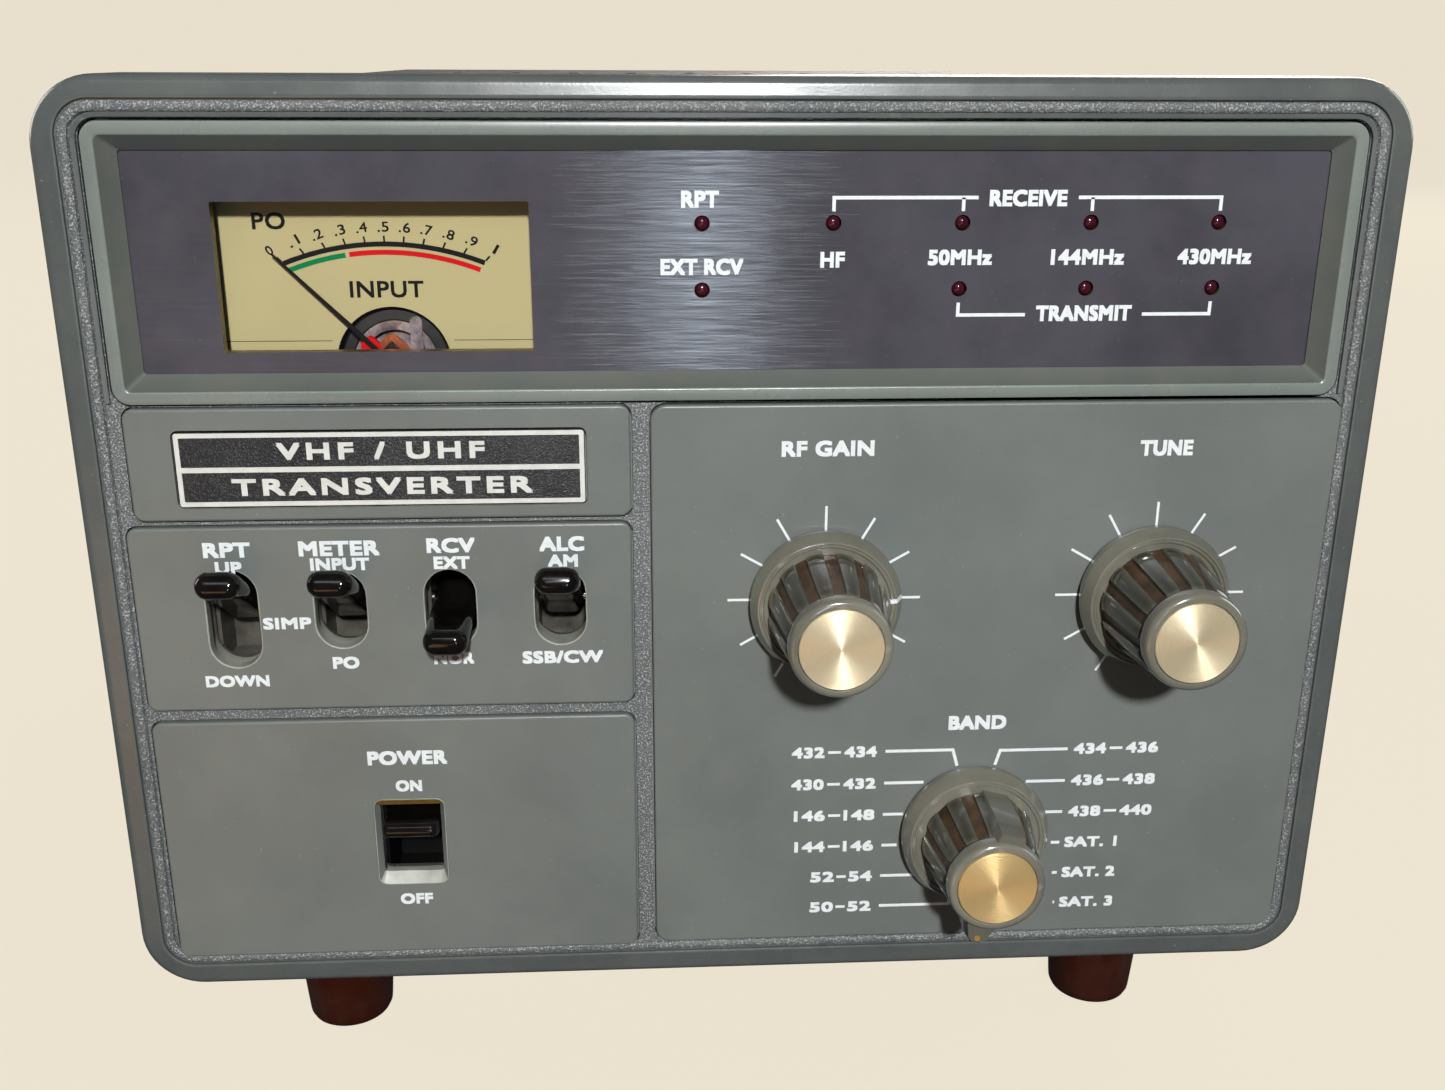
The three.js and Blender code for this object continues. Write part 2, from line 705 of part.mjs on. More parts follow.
// A spun disc set into the front of the knob, very slightly domed.
function makeCap(topFront) {
  const { radius, thickness, proud, dome } = CAP;
  const back = topFront + thickness - GAP;
  const front = topFront - proud;
  const rim = [[radius, front + dome], [radius - dome, front]];
  return turned([[0, back], [radius, back], ...rim, [0, front - dome]]);
}

function makeShaft(back) {
  return bar(SHAFT.radius, SHAFT.front, back);
}

// The still half of a control: threaded bush, can and a row of solder tags.
function makePotentiometer() {
  const { radius, back, tagWidth, tagDepth, tagReach } = POTENTIOMETER;
  const can = join(
    bar(radius, SUB_PANEL.back + GAP, back),
    bar(BUSH.radius, BUSH.front, SUB_PANEL.back + 1),
    block([-tagWidth / 2, tagWidth / 2], [tagDepth, tagDepth + 1], [-radius - tagReach, 1 - radius]),
  );
  return cut(can, bar(SHAFT.radius + GAP, 0, back - 1.5));
}

// The band switch: index plate, two spacer rods and three wafers round the shaft.
function makeBandSwitch() {
  const { width, height, corner, indexBack, wafers, waferThickness } = BAND_SWITCH;
  const { rodX, rodRadius, rodBack, shaftBack } = BAND_SWITCH;
  const outline = roundedRectangle(width, height, corner);
  const decks = wafers.map((y) => slab(outline, y, y + waferThickness));
  const rods = [-rodX, rodX].map((x) => bar(rodRadius, SUB_PANEL.back + 1, rodBack, x, 0, 10));
  const index = slab(outline, SUB_PANEL.back + GAP, indexBack);
  const bush = bar(BUSH.radius, BUSH.front, SUB_PANEL.back + 1);
  return cut(join(index, bush, ...rods, ...decks), bar(SHAFT.radius + GAP, 0, shaftBack + 1));
}

const STILL_HALVES = {
  rf_gain: { name: "rf_gain_potentiometer", make: makePotentiometer, ...POTENTIOMETER },
  tune: { name: "tune_potentiometer", make: makePotentiometer, ...POTENTIOMETER },
  band: { name: "band_rotary_switch", make: makeBandSwitch, ...BAND_SWITCH },
};

for (const [name, control] of Object.entries(CONTROLS)) {
  const { name: stillName, make, shaftBack } = STILL_HALVES[name];
  addPiece(stillName, "zinc_steel", make()).position.set(control.x, 0, control.z);
  const rotor = new THREE.Group();
  rotor.position.set(control.x, 0, control.z);
  rotor.rotation.y = THREE.MathUtils.degToRad(control.pointer);
  panelFrame.add(rotor);
  const topFront = KNOB.topFront[name];
  const knob = name === "band" ? makeBarKnob(topFront) : makeKnob(topFront);
  addPiece(`${name}_knob`, "knob_plastic", knob, rotor);
  addPiece(`${name}_cap`, "spun_gold", makeCap(topFront), rotor);
  addPiece(`${name}_shaft`, "bright_steel", makeShaft(shaftBack), rotor);
}

// Case and chassis ---------------------------------------------------------------------------

const VENT = { count: 9, pitch: 17, width: 3, length: 60, frontY: 110, rearY: 200 };

function slotRow(count, pitch, width, length, middleY, spanZ) {
  const slots = [];
  for (let i = 0; i < count; i++) {
    const x = (i - (count - 1) / 2) * pitch;
    const spanY = [middleY - length / 2, middleY + length / 2];
    slots.push(block([x - width / 2, x + width / 2], spanY, spanZ));
  }
  return slots;
}

function makeCover(side) {
  const { width, height, corner, sheet, front, rear, split } = CASE;
  const halfHeight = height / 2;
  const seam = split + (side > 0 ? GAP / 2 : -GAP / 2);
  const span = (from, to) => (from < to ? [from, to] : [to, from]);
  const outer = roundedRectangle(width, height, corner);
  const inner = roundedRectangle(width - 2 * sheet, height - 2 * sheet, corner - sheet);
  const beyond = [front - OVERSHOOT, rear + OVERSHOOT];
  const through = span(side * (halfHeight - sheet - OVERSHOOT), side * (halfHeight + OVERSHOOT));
  return cut(
    slab(outer, front, rear, 5),
    slab(inner, ...beyond, 5),
    block([-width, width], beyond, span(seam, -side * height)),
    ...slotRow(VENT.count, VENT.pitch, VENT.width, VENT.length, VENT.frontY, through),
    ...slotRow(VENT.count, VENT.pitch, VENT.width, VENT.length, VENT.rearY, through),
  );
}

function makeChassis() {
  const { floor, sheet, sideHeight, halfWidth, front, back } = CHASSIS;
  const depth = [front, back];
  const plate = block([-halfWidth, halfWidth], depth, [floor, floor + sheet]);
  const sides = [-1, 1].map((side) => {
    const outside = side * halfWidth;
    const inside = side * (halfWidth - sheet);
    const spanX = [Math.min(outside, inside), Math.max(outside, inside)];
    return block(spanX, depth, [floor, floor + sideHeight]);
  });
  return join(plate, ...sides);
}

function makeFoot() {
  const { topRadius, bottomRadius, height } = FOOT;
  const profile = [
    [0, 0],
    [bottomRadius - FOOT_EDGE.bottom, 0],
    [bottomRadius, FOOT_EDGE.bottom],
    [topRadius - FOOT_EDGE.top, height - FOOT_EDGE.collar],
    [topRadius, height],
    [0, height],
  ];
  const points = profile.map(([radius, z]) => new THREE.Vector2(radius, z));
  return new THREE.LatheGeometry(points, 20).rotateX(Math.PI / 2);
}

addPiece("top_cover", "case_paint", makeCover(1));
addPiece("bottom_cover", "case_paint", makeCover(-1));
addPiece("chassis", "zinc_steel", makeChassis());
for (const [end, y] of [["front", FOOT.frontY], ["rear", FOOT.rearY]]) {
  for (const [side, sign] of [["left", -1], ["right", 1]]) {
    const foot = addPiece(`${end}_${side}_foot`, "rubber", makeFoot());
    foot.position.set(sign * FOOT.x, y, -FLOOR_TO_PANEL_CENTRE);
  }
}

// Rear panel and what is on it ---------------------------------------------------------------

const AERIAL_SOCKETS = { low_band_socket: -88, middle_band_socket: -62, high_band_socket: -36 };
const SOCKET = {
  z: 48,
  hole: 7.6,
  flange: 25,
  sheet: 2,
  barrel: 7.9,
  mouth: 5.8,
  core: 3.4,
  pin: 1.5,
  reach: 18,
};
const JACK_STRIP = { x: -62, z: 12, width: 70, height: 18, sheet: 1.6, jacks: 4, pitch: 16 };
const JACK = { body: 5, hole: 5.4, collar: 4.2, reach: 11, tail: 8 };
const ACCESSORY = { x: -62, z: -22, radius: 9.5, wall: 2, depth: 7 };
const FUSE = { x: -20, z: -58, radius: 7, flange: 2.5, reach: 11, tail: 24 };
const INLET = { x: 22, z: -53, width: 28, height: 20, wall: 2, flange: 2.4, depth: 18, bladeX: 6 };
const BLADE = { width: 5, thickness: 1.6, setBack: 4 };
const GROUND = { x: -90, z: -58, radius: 2.5, reach: 18, nut: 5, hub: 4.4, wing: 11 };

function makeRearPanel() {
  const { front, back, width, height, corner } = REAR_PANEL;
  const open = [front - OVERSHOOT, back + OVERSHOOT];
  const socketHoles = Object.values(AERIAL_SOCKETS).map((x) => bar(SOCKET.hole, ...open, x, SOCKET.z));
  const jackHoles = jackPositions().map((x) => bar(JACK.hole, ...open, x, JACK_STRIP.z, 10));
  return cut(
    slab(roundedRectangle(width, height, corner), front, back),
    ...socketHoles,
    ...jackHoles,
    bar(ACCESSORY.radius + GAP, ...open, ACCESSORY.x, ACCESSORY.z),
    bar(FUSE.radius + GAP, ...open, FUSE.x, FUSE.z),
    slab(roundedRectangle(INLET.width + 2 * GAP, INLET.height + 2 * GAP, 2, INLET.x, INLET.z), ...open),
    bar(GROUND.radius + GAP, ...open, GROUND.x, GROUND.z, 12),
  );
}

function jackPositions() {
  const { x, jacks, pitch } = JACK_STRIP;
  return Array.from({ length: jacks }, (_, i) => x + (i - (jacks - 1) / 2) * pitch);
}

// A square flanged coaxial socket: flange outside, barrel out to the rear, solder pin inside.
function makeAerialSocket() {
  const face = REAR_PANEL.back + GAP;
  const end = face + SOCKET.reach;
  const flange = slab(roundedRectangle(SOCKET.flange, SOCKET.flange, 2), face, face + SOCKET.sheet);
  const barrel = bar(SOCKET.barrel, face + 1, end);
  const neck = bar(SOCKET.hole - GAP, REAR_PANEL.front - 4, face + 1);
  const pin = bar(SOCKET.pin, REAR_PANEL.front - 10, REAR_PANEL.front - 3, 0, 0, 10);
  const mouth = cut(
    bar(SOCKET.mouth, end - 7, end + OVERSHOOT),
    bar(SOCKET.core, end - 8, end - 1.5),
  );
  return cut(join(flange, barrel, neck, pin), mouth);
}

function makeJackStrip() {
  const { x, z, width, height } = JACK_STRIP;
  const face = REAR_PANEL.back + GAP;
  const strip = slab(roundedRectangle(width, height, 2, x, z), face, face + JACK_STRIP.sheet);
  const jacks = jackPositions().flatMap((jackX) => [
    bar(JACK.collar, face + 1, face + JACK.reach, jackX, z, 12),
    bar(JACK.body, REAR_PANEL.front - JACK.tail, face + 0.5, jackX, z, 10),
  ]);
  return join(strip, ...jacks);
}

function makeAccessorySocket() {
  const { x, z, radius } = ACCESSORY;
  const face = REAR_PANEL.back + GAP;
  const body = join(
    bar(radius + 3, face, face + 1.8, x, z, 18),
    bar(radius, REAR_PANEL.front - 12, face + 1, x, z, 18),
  );
  return cut(body, bar(radius - ACCESSORY.wall, face - ACCESSORY.depth, face + 3, x, z, 18));
}

function makeFuseHolder() {
  const { x, z, radius } = FUSE;
  const face = REAR_PANEL.back + GAP;
  return join(
    bar(radius, REAR_PANEL.front - FUSE.tail, face + 1, x, z, 18),
    bar(radius + 2, face, face + FUSE.flange, x, z, 18),
    bar(radius, face + 2, face + FUSE.reach, x, z, 18),
  );
}

// A recessed mains inlet with its flange outside and two blades at the bottom of the recess.
function makePowerInlet() {
  const { x, z, width, height, wall, flange, depth, bladeX } = INLET;
  const face = REAR_PANEL.back + GAP;
  const plate = slab(roundedRectangle(width + 8, height + 5, 3, x, z), face, face + flange);
  const cup = slab(roundedRectangle(width, height, 2, x, z), face - depth - 2 * wall, face + 1);
  const room = roundedRectangle(width - 2 * wall, height - 2 * wall, 1.5, x, z);
  const recess = slab(room, face - depth, face + flange + OVERSHOOT);
  const length = depth + OVERSHOOT - BLADE.setBack;
  const middle = face - BLADE.setBack - length / 2;
  const blades = [-bladeX, bladeX].map((side) =>
    box(BLADE.width, length, BLADE.thickness, x + side, middle, z),
  );
  return join(cut(join(plate, cup), recess), ...blades);
}

// The earth post: a stud with a hexagonal nut and a wing nut, left as one piece.
function makeGroundTerminal() {
  const face = REAR_PANEL.back + GAP;
  const stud = bar(GROUND.radius, REAR_PANEL.front - 8, face + GROUND.reach);
  const nut = bar(GROUND.nut, face, face + 3, 0, 0, 6);
  const hub = bar(GROUND.hub, face + 5, face + 11);
  const wings = block([-GROUND.wing, GROUND.wing], [face + 6, face + 13], [-1.1, 1.1]);
  return join(stud, nut, hub, wings).translate(GROUND.x, 0, GROUND.z);
}

function makeHeatSink() {
  const { x, z, width, height, base, fins, finWidth } = HEAT_SINK;
  const face = REAR_PANEL.back + GAP;
  const spanZ = [z - height / 2, z + height / 2];
  const plate = block([x - width / 2, x + width / 2], [face, face + base], spanZ);
  const pitch = (width - finWidth) / (fins - 1);
  const blades = Array.from({ length: fins }, (_, i) => {
    const left = x - width / 2 + i * pitch;
    return block([left, left + finWidth], [face + base - 0.5, OVERALL_DEPTH], spanZ);
  });
  return join(plate, ...blades);
}

addPiece("rear_panel", "zinc_steel", makeRearPanel());
for (const [name, x] of Object.entries(AERIAL_SOCKETS)) {
  addPiece(name, "bright_steel", makeAerialSocket()).position.set(x, 0, SOCKET.z);
}
addPiece("jack_strip", "black_plastic", makeJackStrip());
addPiece("accessory_socket", "bright_steel", makeAccessorySocket());
addPiece("fuse_holder", "black_plastic", makeFuseHolder());
addPiece("power_inlet", "black_plastic", makePowerInlet());
addPiece("ground_terminal", "bright_steel", makeGroundTerminal());
addPiece("heat_sink", "cast_aluminium", makeHeatSink());

// Inside the case ----------------------------------------------------------------------------

const DECK = CHASSIS.floor + CHASSIS.sheet + GAP;
const MODULES = { low_band_module: -70, middle_band_module: -8, high_band_module: 54 };
const MODULE = { width: 56, front: 80, back: 180, base: -22, height: 40, sheet: 1.2 };
const MAIN_BOARD = { halfWidth: 96, front: 70, back: 190, z: -30 };
const BOARD_PART = { halfWidth: 9, drop: 12, setBack: 20 };
const POST = { x: 88, halfWidth: 3, setBack: 8 };
const TRANSFORMER = { x: -50, y: 236, width: 70, depth: 56, height: 60, foot: 2 };
const CAPACITORS = { xs: [22, 62], y: 240, radius: 14, height: 52, width: 84, depth: 40, foot: 2 };

// A laminated core with its winding standing proud on both sides, and a foot frame.
function makeTransformer() {
  const { x, y, width, depth, height, foot } = TRANSFORMER;
  const middle = DECK + height / 2 + foot / 2;
  return join(
    box(width, depth * 0.45, height, x, y, middle),
    box(width * 0.55, depth, height * 0.62, x, y, middle),
    box(width + 20, depth * 0.45, foot, x, y, DECK + foot / 2),
  );
}

function makeFilterCapacitors() {
  const { xs, y, radius, height, width, depth, foot } = CAPACITORS;
  const middle = (xs[0] + xs[1]) / 2 + 3;
  const cans = xs.map((x) =>
    new THREE.CylinderGeometry(radius, radius, height, 24)
      .rotateX(Math.PI / 2)
      .translate(x, y, DECK + foot + height / 2),
  );
  return join(box(width, depth, foot, middle, y, DECK + foot / 2), ...cans);
}

// A shield can, open below over the circuits that it screens, with a coaxial plug at its rear end.
function makeModule() {
  const { width, front, back, base, height, sheet } = MODULE;
  const can = block([-width / 2, width / 2], [front, back], [base, base + height]);
  const room = block(
    [sheet - width / 2, width / 2 - sheet],
    [front + sheet, back - sheet],
    [base - OVERSHOOT, base + height - sheet],
  );
  const plug = bar(3, back - sheet / 2, back + 7, width * 0.28, base + height * 0.3, 12);
  return join(cut(can, room), plug);
}

// The main circuit board, on four posts that stand on the chassis.
function makeMainBoard() {
  const { halfWidth, front, back, z } = MAIN_BOARD;
  const board = block([-halfWidth, halfWidth], [front, back], [z, z + 1.6]);
  const posts = [-1, 1].flatMap((side) =>
    [front + POST.setBack, back - POST.setBack].map((y) => {
      const x = side * POST.x;
      const reach = POST.halfWidth;
      return block([x - reach, x + reach], [y - reach, y + reach], [DECK, z + 0.5]);
    }),
  );
  const { halfWidth: reach, drop, setBack } = BOARD_PART;
  const parts = [-60, -20, 20, 60].map((x) =>
    block([x - reach, x + reach], [front + setBack, back - setBack], [z - drop, z + 0.5]),
  );
  return join(board, ...posts, ...parts);
}

addPiece("power_transformer", "transformer_steel", makeTransformer());
addPiece("filter_capacitors", "black_plastic", makeFilterCapacitors());
addPiece("main_board", "board_green", makeMainBoard());
for (const [name, x] of Object.entries(MODULES)) {
  addPiece(name, "bright_steel", makeModule()).position.x = x;
}

// The whole object ---------------------------------------------------------------------------

// The front plane stands so that the knobs and the heat sink reach equally far from the origin.
panelFrame.position.set(0, (KNOB_REACH - OVERALL_DEPTH) / 2, FLOOR_TO_PANEL_CENTRE);
const transverter = new THREE.Group();
transverter.name = "transverter";
transverter.add(panelFrame);

export default transverter;
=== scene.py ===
import json
import math
from types import SimpleNamespace

import bmesh
import bpy
from mathutils import Matrix, Vector
from mathutils.geometry import tessellate_polygon


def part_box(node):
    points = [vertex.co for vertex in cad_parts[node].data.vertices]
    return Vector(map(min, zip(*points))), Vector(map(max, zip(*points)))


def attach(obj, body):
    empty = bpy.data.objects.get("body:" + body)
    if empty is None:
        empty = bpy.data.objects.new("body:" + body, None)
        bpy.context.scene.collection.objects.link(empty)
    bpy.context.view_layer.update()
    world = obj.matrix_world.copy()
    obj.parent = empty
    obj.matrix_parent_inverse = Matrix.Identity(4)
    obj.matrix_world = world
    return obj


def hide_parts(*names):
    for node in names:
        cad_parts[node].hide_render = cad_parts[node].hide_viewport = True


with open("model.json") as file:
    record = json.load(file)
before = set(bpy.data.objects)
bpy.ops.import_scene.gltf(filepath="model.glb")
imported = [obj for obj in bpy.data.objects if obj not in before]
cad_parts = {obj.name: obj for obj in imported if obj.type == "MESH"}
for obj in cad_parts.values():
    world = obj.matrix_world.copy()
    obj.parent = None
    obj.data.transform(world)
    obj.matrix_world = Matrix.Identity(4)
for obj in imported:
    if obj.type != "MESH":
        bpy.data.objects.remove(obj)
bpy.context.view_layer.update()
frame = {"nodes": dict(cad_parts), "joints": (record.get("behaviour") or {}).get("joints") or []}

# Panel coordinates: millimetres to the right, behind the front plane and above the panel's middle.
MM = 0.001
bezel_low, bezel_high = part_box("front_bezel")
case_bottom, case_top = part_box("bottom_cover")[0].z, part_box("top_cover")[1].z
PANEL_MIDDLE = Vector(((bezel_low.x + bezel_high.x) / 2, bezel_low.y, (case_bottom + case_top) / 2))
PANEL = Matrix.Translation(PANEL_MIDDLE) @ Matrix.Scale(MM, 4)
JOINTS = {joint["name"]: joint for joint in frame["joints"]}
STILL = "case"


def extent(node):
    """A CAD node's box in panel coordinates."""
    low, high = [(corner - PANEL_MIDDLE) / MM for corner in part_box(node)]
    middle = (low + high) / 2
    size = high - low
    return SimpleNamespace(
        left=low.x, right=high.x, front=low.y, back=high.y, bottom=low.z, top=high.z,
        x=middle.x, y=middle.y, z=middle.z, width=size.x, depth=size.y, height=size.z,
    )


def pivot(joint):
    """A joint's point in panel coordinates."""
    return (Vector(JOINTS[joint]["pos_m"]) - PANEL_MIDDLE) / MM


def at(x, y, z):
    """A panel point in metres."""
    return PANEL @ Vector((x, y, z))


# Camera and light ---------------------------------------------------------------------------------

CAMERA = SimpleNamespace(lens=36.37, place=(-15.55, -228.9, 81.0), angles=(71.365, -0.224, -3.221))
AIM = (0, -0.15, 0.1)
LIGHTS = {  # name: place, aim, width and height in metres, watts, colour
    "key_light": ((0.048, -1.15, 0.63), AIM, 0.05, 0.07, 14.0, (0.98, 0.99, 1)),
    "front_light": ((-0.25, -1.6, 1.2), AIM, 1.2, 0.2, 1.6, (0.88, 0.96, 1)),
    "low_light": ((-0.5, -1.1, -0.35), AIM, 0.7, 0.3, 1.1, (1, 0.5, 0.2)),
    "upright_strip": ((0.036, -1.15, 0.02), (0.036, 0, 0.02), 0.035, 0.26, 0.6, (0.75, 0.88, 1)),
    "low_strip": ((0.036, -1.15, -0.08), (0.036, 0, -0.08), 0.035, 0.06, 0.3, (0.75, 0.88, 1)),
    "rear_light": ((0.7, 1.6, 0.9), (0, 0.1, 0.1), 1.2, 1.0, 30, (1, 0.92, 0.84)),
    "left_light": ((-1.7, 0.6, 0.7), (0, 0.05, 0.1), 1.0, 1.0, 16, (1, 0.97, 0.93)),
    "right_light": ((1.7, 0.4, 0.7), (0, 0.05, 0.1), 1.0, 1.0, 12, (1, 0.97, 0.93)),
}
PAPER = SimpleNamespace(color=(0.823, 0.76, 0.624), glow=0.975, flat=3.0, bend=1.5, top=6.0, gap=0.0002)


def add_object(name, data):
    """A new object in the scene."""
    made = bpy.data.objects.new(name, data)
    bpy.context.scene.collection.objects.link(made)
    return made


def make_camera():
    data = bpy.data.cameras.new("camera")
    data.lens = CAMERA.lens
    data.sensor_width = 36
    data.clip_start = 0.01
    data.clip_end = 50
    camera = add_object("camera", data)
    camera.location = at(*CAMERA.place)
    camera.rotation_euler = [math.radians(angle) for angle in CAMERA.angles]
    bpy.context.scene.camera = camera


def add_light(name, place, aim, width, height, energy, color):
    data = bpy.data.lights.new(name, "AREA")
    data.shape = "RECTANGLE"
    data.size = width
    data.size_y = height
    data.energy = energy
    data.color = color
    light = add_object(name, data)
    light.location = place
    light.rotation_euler = (Vector(aim) - Vector(place)).to_track_quat("-Z", "Y").to_euler()


def make_studio():
    world = bpy.data.worlds.new("studio")
    world.use_nodes = True
    background = world.node_tree.nodes["Background"]
    background.inputs["Color"].default_value = (0.95, 0.98, 1, 1)
    background.inputs["Strength"].default_value = 0.035
    bpy.context.scene.world = world
    for name, values in LIGHTS.items():
        add_light(name, *values)
    bpy.context.scene.view_settings.view_transform = "Standard"
    bpy.context.scene.view_settings.look = "None"


def make_floor():
    """A round paper sweep: flat under the object, curving up into a wall far away on every side."""
    path = [(PAPER.flat, 0)]
    for step in range(1, 13):
        angle = math.pi / 2 * step / 12
        path.append((PAPER.flat + PAPER.bend * math.sin(angle), PAPER.bend * (1 - math.cos(angle))))
    path.append((PAPER.flat + PAPER.bend, PAPER.top))
    bm = bmesh.new()
    rings = []
    for reach, height in path:
        rings.append([bm.verts.new((x, y, height)) for x, y in circle(reach, sides=64)])
    bm.faces.new(rings[0])
    skins(bm, rings)
    bmesh.ops.recalc_face_normals(bm, faces=bm.faces)
    mesh = bpy.data.meshes.new("floor")
    bm.to_mesh(mesh)
    bm.free()
    floor = add_object("floor", mesh)
    floor.location.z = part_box("front_left_foot")[0].z - PAPER.gap
    unlit = tuple(channel * 0.05 for channel in PAPER.color)
    look = paint("floor_paper", unlit, 0.9, mottle=0.01, bump=0.0, Specular_IOR_Level=0.0,
                 Emission_Color=(*PAPER.color, 1), Emission_Strength=PAPER.glow)
    mesh.materials.append(look)
    floor.visible_diffuse = False
    floor.visible_glossy = False


# Materials ----------------------------------------------------------------------------------------

def node(tree, kind, **values):
    made = tree.nodes.new(kind)
    for key, value in values.items():
        if key in made.inputs:
            made.inputs[key].default_value = value
        else:
            setattr(made, key, value)
    return made


def noise(tree, scale, detail=3.0, stretch=(1, 1, 1), rough=0.55):
    """A noise texture in the row frame; stretch below 1 draws it out along that axis."""
    place = node(tree, "ShaderNodeTexCoord")
    mapping = node(tree, "ShaderNodeMapping")
    mapping.inputs["Scale"].default_value = stretch
    texture = node(tree, "ShaderNodeTexNoise", Scale=scale, Detail=detail, Roughness=rough)
    tree.links.new(place.outputs["Object"], mapping.inputs["Vector"])
    tree.links.new(mapping.outputs["Vector"], texture.inputs["Vector"])
    return texture.outputs["Fac"]


def spread(tree, value, low, high, out_low, out_high):
    """Maps a texture's range low..high to out_low..out_high, held at the ends."""
    ramp = node(tree, "ShaderNodeMapRange")
    for key, number in zip(("From Min", "From Max", "To Min", "To Max"), (low, high, out_low, out_high)):
        ramp.inputs[key].default_value = number
    tree.links.new(value, ramp.inputs["Value"])
    return ramp.outputs["Result"]


def mixed(tree, factor, first, second):
    """Mixes two colours, each a tuple or a socket."""
    mix = node(tree, "ShaderNodeMix", data_type="RGBA")
    tree.links.new(factor, mix.inputs[0])
    for socket, color in ((mix.inputs[6], first), (mix.inputs[7], second)):
        if isinstance(color, tuple):
            socket.default_value = (*color, 1)
        else:
            tree.links.new(color, socket)
    return mix.outputs[2]


def paint(name, color, roughness, metallic=0.0, mottle=0.08, mottle_scale=45, span=0.06, bump=0.25,
          bump_scale=2600, bump_depth=0.00004, stretch=(1, 1, 1), dust=0.0, dust_color=(0.3, 0.28, 0.22),
          wear=0.0, wear_and_glint_color=(0.4, 0.42, 0.4), specks=0.0, sparkle=0.0, **shader_values):
    """A solid material with mottled colour, uneven gloss, a fine surface, dust, specks and edge wear, and
    pale glints on the fine surface's peaks as painted highlight.
    """
    made = bpy.data.materials.new(name)
    made.use_nodes = True
    tree = made.node_tree
    shader = tree.nodes["Principled BSDF"]
    shader.inputs["Metallic"].default_value = metallic
    for key, value in shader_values.items():
        shader.inputs[key.replace("_", " ")].default_value = value
    dark = tuple(channel * (1 - mottle) for channel in color)
    light = tuple(min(1, channel * (1 + mottle)) for channel in color)
    patches = spread(tree, noise(tree, mottle_scale, 5), 0.35, 0.65, 0, 1)
    shade = mixed(tree, patches, dark, light)
    if dust:
        film = spread(tree, noise(tree, 130, 6, rough=0.7), 0.42, 0.8, 0, dust)
        shade = mixed(tree, film, shade, dust_color)
    if specks:
        points = spread(tree, noise(tree, 1500, 1), 0.76, 0.8, 0, specks)
        shade = mixed(tree, points, shade, dust_color)
    # Painted highlight: the pale colour on the peaks of the bump's noise stands in for light caught by the
    # grain; the same colour also serves edge wear.
    if sparkle:
        glint_peaks = spread(tree, noise(tree, bump_scale, 2, stretch), 0.52, 0.7, 0, sparkle)
        shade = mixed(tree, glint_peaks, shade, wear_and_glint_color)
    if wear:
        edge = node(tree, "ShaderNodeNewGeometry").outputs["Pointiness"]
        rubbed = spread(tree, edge, 0.53, 0.62, 0, wear)
        shade = mixed(tree, rubbed, shade, wear_and_glint_color)
    tree.links.new(shade, shader.inputs["Base Color"])
    gloss = noise(tree, mottle_scale * 3, 4)
    uneven = spread(tree, gloss, 0.3, 0.7, max(0.02, roughness - span), roughness + span)
    tree.links.new(uneven, shader.inputs["Roughness"])
    if bump:
        surface = node(tree, "ShaderNodeBump", Strength=bump, Distance=bump_depth)
        tree.links.new(noise(tree, bump_scale, 2, stretch), surface.inputs["Height"])
        tree.links.new(surface.outputs["Normal"], shader.inputs["Normal"])
    return made


